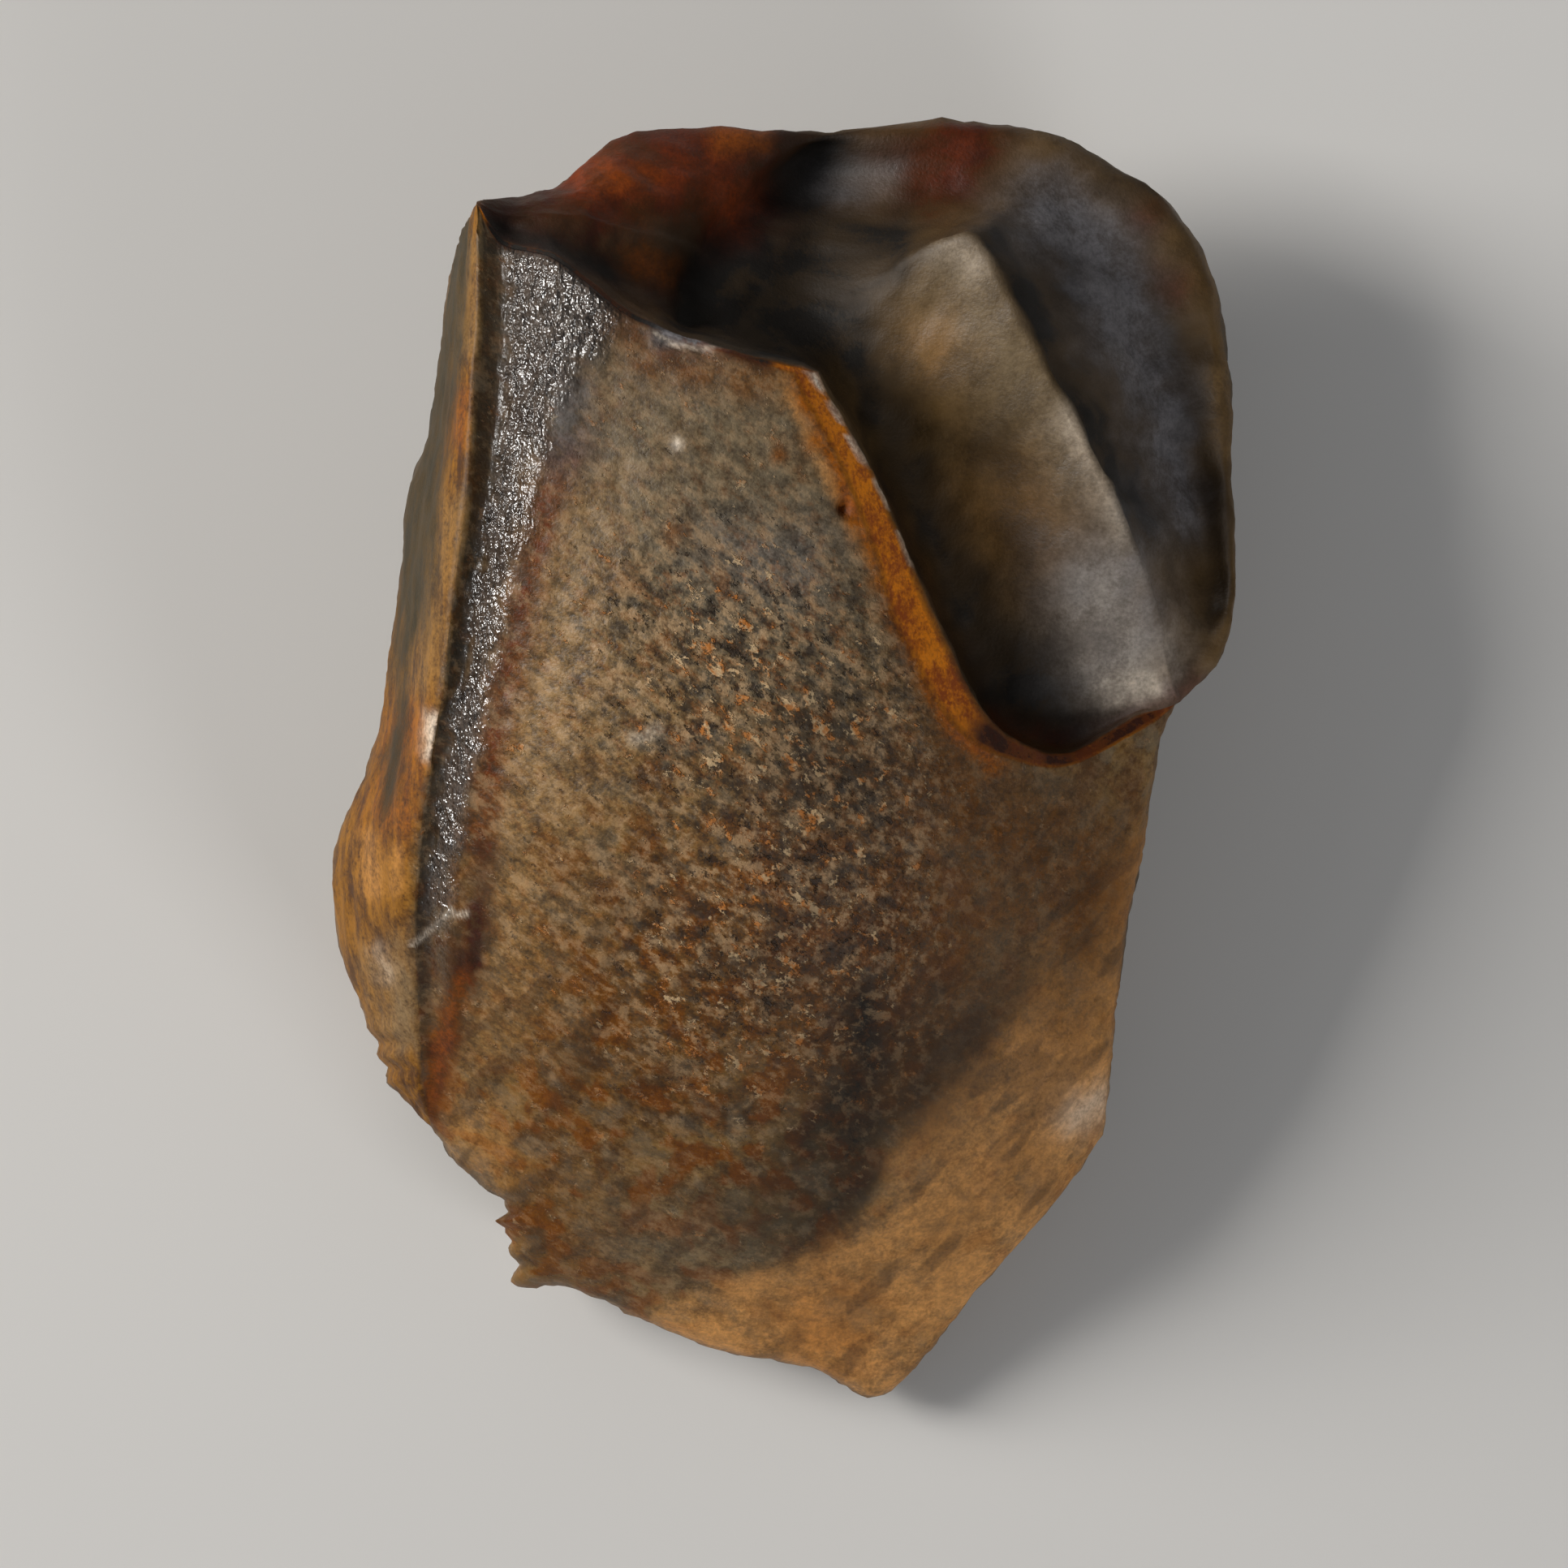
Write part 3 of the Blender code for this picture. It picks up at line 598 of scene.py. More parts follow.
# A flake is lost below the root end
FLAKE = [(-2.1, 7.78), (-1.3, 7.74)]
FLAKE_REACH, FLAKE_FLOOR, FLAKE_DEPTH = 0.26, 0.2, 0.12

# Fine white scratches across the foot of the ridge
SCRATCHES = [
    [(-6.83, -3.35), (-6.25, -2.84)], [(-6.25, -2.84), (-6.15, -2.72)], [(-6.2, -2.83), (-5.85, -2.8)],
]
SCRATCH_WIDTH, SCRATCH_HEIGHT = 0.05, 0.03

REGIONS = ("face", "lip", "slab", "valley", "flank", "wall", "facet")
WELD = 1e-4


def between(before, start, end, after, t):
    """The value a share t of the way from start to end, on a curve through all four."""
    bend = 2 * before - 5 * start + 4 * end - after
    twist = 3 * start - before - 3 * end + after
    return 0.5 * (2 * start + (end - before) * t + bend * t**2 + twist * t**3)


def through(points, at):
    """Points of a Catmull-Rom curve. at counts the given points from 0, and may fall between them."""
    points = np.asarray(points, float)
    at = np.asarray(at, float)
    ends = np.vstack([2 * points[0] - points[1], points, 2 * points[-1] - points[-2]])
    span = np.clip(at.astype(int), 0, len(points) - 2)
    t = (at - span)[:, None]
    return between(*(ends[span + k] for k in range(4)), t)


def onward(line):
    """The line kept from ever turning back to the left."""
    line[:, 0] = np.maximum.accumulate(line[:, 0])
    return line


def travelled_along(line, weights=None):
    """Each point's share of the way along a line, from 0 to 1."""
    steps = np.linalg.norm(np.diff(line, axis=0), axis=1)
    if weights is not None:
        steps = steps * (weights[1:] + weights[:-1]) / 2
    travelled = np.concatenate([[0.0], np.cumsum(steps)])
    return travelled / travelled[-1]


def at_shares(points, shares):
    """Points of the smooth curve through the given ones, at these shares of its length."""
    line = through(points, np.linspace(0, len(points) - 1, 60 * len(points)))
    along = travelled_along(line)
    return np.column_stack([np.interp(shares, along, line[:, k]) for k in range(line.shape[1])])


def smooth_value(table, column, at):
    """A table's column read smoothly against its first column."""
    line = through(table, np.linspace(0, len(table) - 1, 24 * len(table)))
    order = np.argsort(line[:, 0])
    return np.interp(at, line[order, 0], line[order, column])


def net_height(x, y):
    """The height net of the face, smooth in both directions."""
    column = np.interp(x, HEIGHT_X, range(len(HEIGHT_X)))
    row = np.interp(-y, [-value for value in HEIGHT_Y], range(len(HEIGHT_Y)))
    by_row = through(np.transpose(FACE_HEIGHTS), column).T
    span = np.clip(row.astype(int), 0, len(by_row) - 2)
    nearby = [by_row[np.clip(span + k, 0, len(by_row) - 1), np.arange(len(x))] for k in (-1, 0, 1, 2)]
    return between(*nearby, row - span)


def ridge_x(y):
    return smooth_value([(y, x) for x, y in RIDGE_LINE], 1, y)


def groove_width(y):
    return smooth_value(RIDGE_TAPER, 1, y)


def groove_widths_out(x, y):
    """How many groove widths a point lies to the right of the ridge."""
    return np.maximum(x - ridge_x(y), 0.0) / groove_width(y)


def ridge_relief(x, y):
    """The sharp ridge, the groove beside it and the low swell past the groove."""
    return smooth_value(RIDGE_TAPER, 2, y) * smooth_value(RIDGE_PROFILE, 1, groove_widths_out(x, y))


def trough_relief(x, y):
    start, end = np.array(TROUGH_START), np.array(TROUGH_END)
    along = (end - start) / np.linalg.norm(end - start)
    offset = np.column_stack([x, y]) - start
    aside = offset[:, 0] * along[1] - offset[:, 1] * along[0]
    share = np.clip(offset @ along / np.linalg.norm(end - start), 0.0, 1.0)
    return -TROUGH_DEPTH * np.sin(np.pi * share) * np.exp(-((aside / TROUGH_WIDTH) ** 2))


def on_face(points):
    """The (x, y) points raised to the face."""
    x, y = points[:, 0], points[:, 1]
    return np.column_stack([x, y, net_height(x, y) + ridge_relief(x, y) + trough_relief(x, y)])


def blend_between(top, bottom, left, right):
    """A grid of (x, y) points that fills the space inside four lines (a Coons patch)."""
    u = travelled_along(top)[None, :, None]
    v = travelled_along(left)[:, None, None]
    across = (1 - v) * top[None] + v * bottom[None]
    down = (1 - u) * left[:, None] + u * right[:, None]
    corners = (1 - v) * ((1 - u) * top[0] + u * top[-1]) + v * ((1 - u) * bottom[0] + u * bottom[-1])
    return across + down - corners


def face_grid(enamel, tip, ridge, right):
    """The face's grid of (x, y) points. Its columns keep to set groove widths beside the ridge."""
    last = GROOVE_COLUMN_COUNT - 1
    rows = travelled_along(ridge)[:, None]
    groove_y = (1 - rows) * enamel[None, : last + 1, 1] + rows * tip[None, : last + 1, 1]
    groove_y[:, 0] = ridge[:, 1]
    groove_x = ridge_x(groove_y) + groove_width(groove_y) * np.linspace(0, GROOVE_SPAN, last + 1)
    groove = np.stack([groove_x, groove_y], axis=2)
    groove[0], groove[-1], groove[:, 0] = enamel[: last + 1], tip[: last + 1], ridge
    beyond = blend_between(enamel[last:], tip[last:], groove[:, last], right)
    return np.concatenate([groove[:, :last], beyond], axis=1)


def columns_of(points, weight_of=None):
    """Where the face's columns start along a line: at set groove widths first, then evenly to its end."""
    fine = np.linspace(0, len(points) - 1, 80 * len(points))
    line = through(points, fine)
    out = np.maximum.accumulate((line[:, 0] - ridge_x(line[:, 1])) / groove_width(line[:, 1]))
    beside_ridge = np.interp(np.linspace(0, GROOVE_SPAN, GROOVE_COLUMN_COUNT), out, fine)
    travelled = travelled_along(line, weight_of(line) if weight_of else None)
    start = np.interp(beside_ridge[-1], fine, travelled)
    beyond = np.interp(np.linspace(start, 1, COLUMNS_BEYOND + 1)[1:], travelled, fine)
    return np.concatenate([beside_ridge, beyond])


def crowding(line):
    """Columns come closer together by this much at each point of the worn tip's line."""
    distance = np.linalg.norm(line - CROWD_CENTRE, axis=1)
    return 1 + CROWDING * np.exp(-((distance / CROWD_REACH) ** 2))


def root_end_lines():
    """The long lines of the root end, sampled alike: enamel, edge, foot, wedge, valley and rim."""
    edge = [ROOT_CORNER, *(s.edge for s in ROOT_END), HOLLOW_CORNER]
    lip = [(0.0, 0.0), *(s.lip for s in ROOT_END), (0.0, 0.0)]
    at = columns_of(np.add(edge, lip))
    edge = through(edge, at)
    enamel = onward(edge + through(lip, at))
    drop = through([(0.0,), *((s.drop,) for s in ROOT_END), (0.0,)], at)[:, 0]
    enamel = on_face(enamel)
    edge = on_face(edge)
    edge[:, 2] = np.minimum(edge[:, 2], enamel[:, 2]) - drop
    edge[[0, -1]] = enamel[[0, -1]]
    start, end = enamel[0], enamel[-1]
    inner = [through([start, *(getattr(s, name) for s in ROOT_END), end], at) for name in Station._fields[3:]]
    return [enamel, edge, *inner]


def bent_rows(first, middle, last, steps_in, steps_out):
    """Rows from first through middle to last, smooth at middle."""
    rows = [between(2 * first - middle, first, middle, last, t) for t in np.linspace(0, 1, steps_in + 1)]
    rows += [between(first, middle, last, 2 * last - middle, t) for t in np.linspace(0, 1, steps_out + 1)[1:]]
    return rows


def hollow_grids(edge, foot, wedge, valley, rim):
    """Rows from the broken edge to the wedge's crest, and from there to the far rim."""
    into_hollow, up_wedge, down_wedge, up_rim = HOLLOW_STEPS
    near_side = bent_rows(edge, foot, wedge, into_hollow, up_wedge)
    far_side = bent_rows(wedge, valley, rim, down_wedge, up_rim)
    return np.array(near_side), np.array(far_side)


def flank_grid(ridge, side):
    """Rows from the ridge to the left side, curving over ever more steeply."""
    rows = []
    for share in np.linspace(0, 1, FLANK_STEPS + 1):
        row = ridge + share**0.75 * (side - ridge)
        row[:, 2] = ridge[:, 2] + share**1.25 * (side[:, 2] - ridge[:, 2])
        rows.append(row)
    return np.array(rows)


def lip_grid(enamel, edge):
    """Rows down the broken lip, straight from the enamel to the edge."""
    return np.array([enamel + share * (edge - enamel) for share in np.linspace(0, 1, LIP_STEPS + 1)])


def distance_to(points, line, closed=False):
    """How far each point lies from a line, seen from above."""
    line = np.asarray(line, float)[:, :2]
    starts = line if closed else line[:-1]
    ends = np.roll(line, -1, axis=0) if closed else line[1:]
    if len(line) == 1:
        return np.linalg.norm(points[:, :2] - line[0], axis=1)
    along = ends - starts
    found = []
    for part in np.array_split(points[:, :2], max(1, len(points) * len(starts) // 2_000_000)):
        offset = part[:, None] - starts
        share = np.clip((offset * along).sum(2) / np.maximum((along**2).sum(1), 1e-12), 0, 1)
        found.append(np.linalg.norm(offset - share[..., None] * along, axis=2).min(1))
    return np.concatenate(found)


def rounded(grid, outline):
    """The patch with its outer rim rounded over."""
    points = grid.reshape(-1, 3).copy()
    inside = np.minimum(distance_to(points, outline, closed=True), RIM_ROUNDING)
    points[:, 2] -= RIM_ROUNDING - np.sqrt(RIM_ROUNDING**2 - (RIM_ROUNDING - inside) ** 2)
    return points.reshape(grid.shape)


def facet_edge(outline):
    """The wear facet's edge, which follows the outline more loosely the nearer it comes to the root end."""
    edge = outline[:, :2]
    for _ in range(EDGE_SMOOTHINGS):
        edge = (np.roll(edge, 1, axis=0) + 2 * edge + np.roll(edge, -1, axis=0)) / 4
    share = smooth_value(FACET_SHARES, 1, edge[:, 1])[:, None]
    edge = FACET_CENTRE + share * (edge - FACET_CENTRE)
    return np.column_stack([edge, np.zeros(len(edge))])


def wall_row(outline, foot, share):
    """One line round the wall, this share of the way down from the outline to the wear facet."""
    turn = math.radians(WALL_TURN)
    inward = (1 - math.cos(share * turn)) / (1 - math.cos(turn))
    row = outline + inward * (foot - outline)
    row[:, 2] = outline[:, 2] * (1 - math.sin(share * turn) / math.sin(turn))
    return row


class Skin:
    """The points and faces of the whole tooth, and the patch that each point belongs to."""

    def __init__(self):
        self.points = []
        self.weights = []
        self.faces = []
        self.count = 0

    def add_rows(self, grid, region):
        grid = np.asarray(grid)
        rows, columns = grid.shape[:2]
        weight = np.zeros((rows * columns, len(REGIONS)))
        weight[:, REGIONS.index(region)] = 1
        self.points.append(grid.reshape(-1, 3))
        self.weights.append(weight)
        ids = self.count + np.arange(rows * columns).reshape(rows, columns)
        self.count += rows * columns
        return ids

    def join_rows(self, first, second, closed=False):
        """Faces between two rows. The second may have half as many points in a closed ring."""
        if closed:
            first, second = np.append(first, first[0]), np.append(second, second[0])
        if len(first) == len(second):
            self.faces += np.column_stack([first[:-1], first[1:], second[1:], second[:-1]]).tolist()
            return
        left, middle, right = first[:-1:2], first[1::2], first[2::2]
        self.faces += np.column_stack([left, middle, second[:-1]]).tolist()
        self.faces += np.column_stack([middle, second[1:], second[:-1]]).tolist()
        self.faces += np.column_stack([middle, right, second[1:]]).tolist()

    def add_patch(self, grid, region):
        ids = self.add_rows(grid, region)
        for first, second in zip(ids, ids[1:]):
            self.join_rows(first, second)

    def welded(self):
        """The points with those that coincide made one, their mean weights, and the faces that are left."""
        points, weights = np.vstack(self.points), np.vstack(self.weights)
        keys = np.round(points / WELD).astype(np.int64)
        _, first, index = np.unique(keys, axis=0, return_index=True, return_inverse=True)
        index = index.reshape(-1)
        merged = np.zeros((len(first), len(REGIONS)))
        np.add.at(merged, index, weights)
        merged /= np.bincount(index)[:, None]
        faces = []
        for face in self.faces:
            kept = list(dict.fromkeys(index[face].tolist()))
            if len(kept) > 2:
                faces.append(kept)
        return points[first], merged, faces


def add_underside(skin, outline):
    """The wall from the outline down, and the wear facet, with fewer points to a ring as they go in."""
    foot = facet_edge(outline)
    rows = []
    for step in range(WALL_STEPS + 1):
        row = wall_row(outline, foot, step / WALL_STEPS)
        rows.append((row if step < FINE_WALL_STEPS else row[::2], "wall"))
    centre = np.array([*FACET_CENTRE, 0.0])
    for step in range(1, FACET_STEPS):
        row = foot[:: 2 if step < FACET_STEPS * 0.6 else 4]
        rows.append((centre + (1 - step / FACET_STEPS) * (row - centre), "facet"))
    ids = [skin.add_rows([row], region)[0] for row, region in rows]
    for first, second in zip(ids, ids[1:]):
        skin.join_rows(first, second, closed=True)
    middle = skin.add_rows([[centre]], "facet")[0][0]
    ring = np.append(ids[-1], ids[-1][0])
    skin.faces += [[a, b, middle] for a, b in zip(ring, ring[1:])]


def drawn_skin():
    """The whole skin in the drawing's millimetres, before it is roughened."""
    enamel, edge, foot, wedge, valley, rim = root_end_lines()
    ridge = on_face(at_shares(RIDGE_LINE, np.linspace(0, 1, FACE_ROWS)))
    right = on_face(at_shares(RIGHT_SIDE, np.linspace(0, 1, FACE_ROWS)))
    tip = on_face(onward(through(WORN_TIP, columns_of(WORN_TIP, crowding))))
    left = at_shares([ridge[0], *LEFT_SIDE, ridge[-1]], np.linspace(0, 1, FACE_ROWS))
    outline = np.vstack([rim[:-1], right[:-1], tip[:0:-1], left[:0:-1]])

    face = face_grid(enamel[:, :2], tip[:, :2], ridge[:, :2], right[:, :2])
    face = on_face(face.reshape(-1, 2)).reshape(*face.shape[:2], 3)
    skin = Skin()
    skin.add_patch(rounded(face, outline), "face")
    skin.add_patch(rounded(lip_grid(enamel, edge), outline), "lip")
    slab, far_side = hollow_grids(edge, foot, wedge, valley, rim)
    skin.add_patch(rounded(slab, outline), "slab")
    skin.add_patch(rounded(far_side, outline), "valley")
    skin.add_patch(rounded(flank_grid(ridge, left), outline), "flank")
    add_underside(skin, rounded(outline, outline))
    return skin.welded()


def mesh_of(name, points, faces):
    mesh = bpy.data.meshes.new(name)
    mesh.from_pydata(points.tolist(), [], faces)
    mesh.update()
    return mesh


def outward(mesh):
    """Turns the faces so that they all point out of the body."""
    shell = bmesh.new()
    shell.from_mesh(mesh)
    bmesh.ops.recalc_face_normals(shell, faces=shell.faces)
    shell.to_mesh(mesh)
    shell.free()


def noise_at(points, per_mm, detail, shift):
    """Smooth noise from about -1 to 1 at each point. per_mm is one number, or one for each axis."""
    places = points * np.asarray(per_mm, float) + shift
    return np.array([noise.fractal(place, 1.0, 2.0, detail) for place in places.tolist()])


def pattern(points, name):
    return noise_at(points, *NOISES[name])


def pits_at(points, per_mm, size, shift):
    """1 at the middle of each scattered pit, falling to 0 at its rim."""
    places = (points * per_mm + shift).tolist()
    nearest = np.array([noise.voronoi(place)[0][0] for place in places])
    return np.clip(1 - nearest / size, 0, 1)


def soft_step(value, low, high):
    share = np.clip((value - low) / (high - low), 0, 1)
    return share * share * (3 - 2 * share)


def wandering(points, reach):
    """The points pushed about a little, so that what is drawn on them has ragged edges."""
    push = min(MOST_WANDER, 0.45 * reach)
    around = [noise_at(points, 1.3 / max(reach, 0.3) ** 0.5, 3, shift) for shift in (11.0, 47.0)]
    moved = points[:, :2].copy()
    moved[:, 0] += push * around[0]
    moved[:, 1] += push * around[1]
    return moved


def region_share(weights, names):
    """How far each point belongs to any of the named patches."""
    return sum(weights[:, REGIONS.index(name)] for name in names.split())


def close_to(points, line, reach):
    """Whether each point is near enough to a line for its mark to show."""
    margin = 3 * reach + MOST_WANDER
    return ((points[:, :2] > np.min(line, 0) - margin) & (points[:, :2] < np.max(line, 0) + margin)).all(1)


def tint_shares(points, weights):
    """How much of each tint every point takes."""
    shares = {tint: np.zeros(len(points)) for tint in TINTS}
    for (region, tint), marks in MARKS.items():
        within = region_share(weights, region)
        for reach, strength, line in marks:
            near = np.flatnonzero((within > 0) & close_to(points, line, reach))
            share = strength * within[near] * dip_along(wandering(points[near], reach), line, reach)
            shares[tint][near] = 1 - (1 - shares[tint][near]) * (1 - share)
    # The groove's bottom takes the dark tint as painted shade.
    shares["dark"] = np.maximum(shares["dark"], GROOVE_PAINTED_SHADE * painted_shade_strip_share(points, weights))
    shares["ochre"] = np.maximum(shares["ochre"], ochre_share(points, weights))
    return shares


def slanted(points):
    """The points turned so that their first axis runs up to the right."""
    x, y = points[:, 0], points[:, 1]
    return np.column_stack([(x + y) * 0.7, (y - x) * 0.7, points[:, 2]])


def by_patch(weights, depths):
    """Each point's value from a value for each patch."""
    return sum(depth * region_share(weights, name) for name, depth in depths.items())


def worn_height(points, weights):
    """How far the wear raises each point: low swells, grain, fibres, lumps, pits and streaks."""
    face = region_share(weights, "face")
    height = SWELL_HEIGHT * pattern(points, "swells")
    for name, heights in WEAR_HEIGHTS.items():
        height += by_patch(weights, heights) * pattern(points, name)
    streaked = face * soft_step(-points[:, 1], *STREAKED_FACE)
    height += STREAK_HEIGHT * pattern(slanted(points), "streaks") * streaked
    pits = pits_at(points, *PITS) * (pattern(points, "pit fields") > PIT_FIELD_EDGE)
    unpolished = face * (1 - gloss_share(points, weights)) + WALL_PITTING * region_share(weights, "wall")
    return height - PIT_DEPTH * pits * unpolished


def damage_height(points, weights):
    """How far the few deep marks lower each point, and how far the scratches raise it."""
    height = np.zeros(len(points))
    for patches, line, reach, depth in DEEP_MARKS:
        height -= depth * region_share(weights, patches) * dip_along(points, line, reach)
    flake = soft_step(-distance_to(wandering(points, 0.3), FLAKE), -FLAKE_REACH, -FLAKE_FLOOR)
    height -= FLAKE_DEPTH * region_share(weights, "face") * flake
    for scratch in SCRATCHES:
        height += SCRATCH_HEIGHT * dip_along(points, scratch, SCRATCH_WIDTH)
    return height


def roughened(points, normals, weights):
    """The smooth skin with its wear and damage. What it rests on stays flat."""
    height = worn_height(points, weights) + damage_height(points, weights)
    moved = nicked(points + normals * height[:, None])
    moved[:, 2] = np.maximum(moved[:, 2], 0.0)
    resting = points[:, 2] < 1e-3
    moved[resting] = points[resting]
    return moved


def nicked(points):
    """The broken corner of the tip and the chipped edge of the flank."""
    moved = points.copy()
    for nicks, corner in ((TIP_NICKS, NICK_CORNER), (FLANK_NICKS, FLANK_NICK_CORNER)):
        out = np.interp(points[:, 1], *np.transpose(nicks), left=0.0, right=0.0)
        near = np.exp(-(((points[:, :2] - corner) / NICK_REACH) ** 4).sum(1))
        moved[:, 0] -= out * near * soft_step(points[:, 2], 0.0, NICK_HEIGHT)
    return moved


def dip_along(points, line, reach):
    return np.exp(-((distance_to(points, line) / reach) ** 2))


def groove_band(out, y, begins, ends, sets_in, spread=0.0):
    """A band beside the ridge, at points so many groove widths out. spread moves its far side out."""
    return soft_step(out, *begins) * (1 - soft_step(out - spread, *ends)) * soft_step(y, *sets_in)


def gloss_share(points, weights):
    """The polished zone in the groove beside the ridge, which spreads into a fan at the root end."""
    x, y = points[:, 0], points[:, 1]
    out = groove_widths_out(x, y) + POLISH_RAGGEDNESS * pattern(points, "polish edge")
    fan = FAN_SPREAD * soft_step(y, *FAN_Y)
    return groove_band(out, y, *POLISH, fan) * region_share(weights, "face")


def painted_shade_strip_share(points, weights):
    """The painted shade in the bottom of the groove, close beside the ridge, where its side faces away from
    the light.
    """
    x, y = points[:, 0], points[:, 1]
    return groove_band(groove_widths_out(x, y), y, *PAINTED_SHADE_STRIP) * region_share(weights, "face")


def grain_crowding(points):
    """1 where the light grains crowd together most, and falling without end away from there."""
    return 1 - distance_to(points, GRAINY_LINE) / GRAINY_REACH


def grit_zone(points):
    """The grit is coarse in the middle of the face, finer above and below, and rubbed smooth on the right."""
    grit = COMMON_GRIT + (1 - COMMON_GRIT) * soft_step(grain_crowding(points), *GRIT_THICKENS)
    ways = {"right": wandering(points, 1.0)[:, 0], "tip": -points[:, 1], "root": points[:, 1]}
    for side, (loss, start, full) in GRIT_LOSSES.items():
        grit *= 1 - loss * soft_step(ways[side], start, full)
    return grit


def ochre_share(points, weights):
    """The ochre stain, which covers the face to the right of its edge."""
    places, turned = wandering(points, OCHRE_WANDER), slanted(points)
    line = np.array(OCHRE_EDGE)
    edge_x = np.interp(-places[:, 1], -line[:, 1], line[:, 0])
    beyond = OCHRE_SLANT * (places[:, 0] - edge_x) + OCHRE_RAGGEDNESS * pattern(turned, "ochre edge")
    strength = np.clip(OCHRE_STRENGTH + OCHRE_PATCHINESS * pattern(turned, "ochre patches"), *OCHRE_LIMITS)
    return strength * soft_step(beyond, -OCHRE_FADE / 2, OCHRE_FADE / 2) * region_share(weights, "face")


def olive_share(points, weights):
    """The dark olive band on the upper flank's outer part, partly painted shade where it turns away from the
    light, running on down the wall in ragged patches.
    """
    ragged = pattern(points, "olive band edge")
    ridge = ridge_x(points[:, 1])
    side = smooth_value([(y, x) for x, y, _ in LEFT_SIDE[::-1]], 1, points[:, 1])
    out = (ridge - points[:, 0]) / (ridge - side)
    upper = soft_step(points[:, 1] + OLIVE_BAND_Y_RAGGEDNESS * ragged, *OLIVE_BAND_Y)
    film = upper * soft_step(out + OLIVE_BAND_RAGGEDNESS * ragged, *OLIVE_BAND_SHARES) * region_share(weights, "flank")
    patches = soft_step(pattern(points, "film patches") + WALL_FILM_RISE * upper, *WALL_FILM_PATCHES)
    return film + WALL_FILM * patches * region_share(weights, "wall")


def surface_values(points, weights):
    """What the material reads at each point: shares of the patches, tints and finishes, and three noises."""
    face = region_share(weights, "face")
    gloss = gloss_share(points, weights)
    tints = tint_shares(points, weights)
    gritty = face * (1 - gloss) * grit_zone(points)
    for tint, cleaned in GRIT_FREE.items():
        gritty *= 1 - cleaned * tints[tint]
    values = dict(zip(REGIONS, weights.T))
    values |= {"tint_" + tint: share for tint, share in tints.items()}
    values |= {
        "hollow": region_share(weights, "slab valley"),
        "olive": olive_share(points, weights),
        "gloss": gloss,
        "gritty": gritty,
        "grainy": np.maximum(grain_crowding(points), 0),
        "lower": face * soft_step(-points[:, 1], *LOWER_FACE),
    }
    for name, places in (("mottling", points), ("blotches", points), ("streaks", slanted(points))):
        values[name] = 0.5 + 0.5 * pattern(places, name)
    return values


def fitted(points):
    """Drawing millimetres turned into the solid's metres."""
    low, high = (np.array(corner) for corner in frame_box)
    scale = (high[1] - low[1]) / np.ptp(drawn_span, axis=0)[1]
    middle = drawn_span.mean(0)
    return np.column_stack([
        (points[:, 0] - middle[0]) * scale + (low[0] + high[0]) / 2,
        (points[:, 1] - middle[1]) * scale + (low[1] + high[1]) / 2,
        points[:, 2] * scale,
    ])


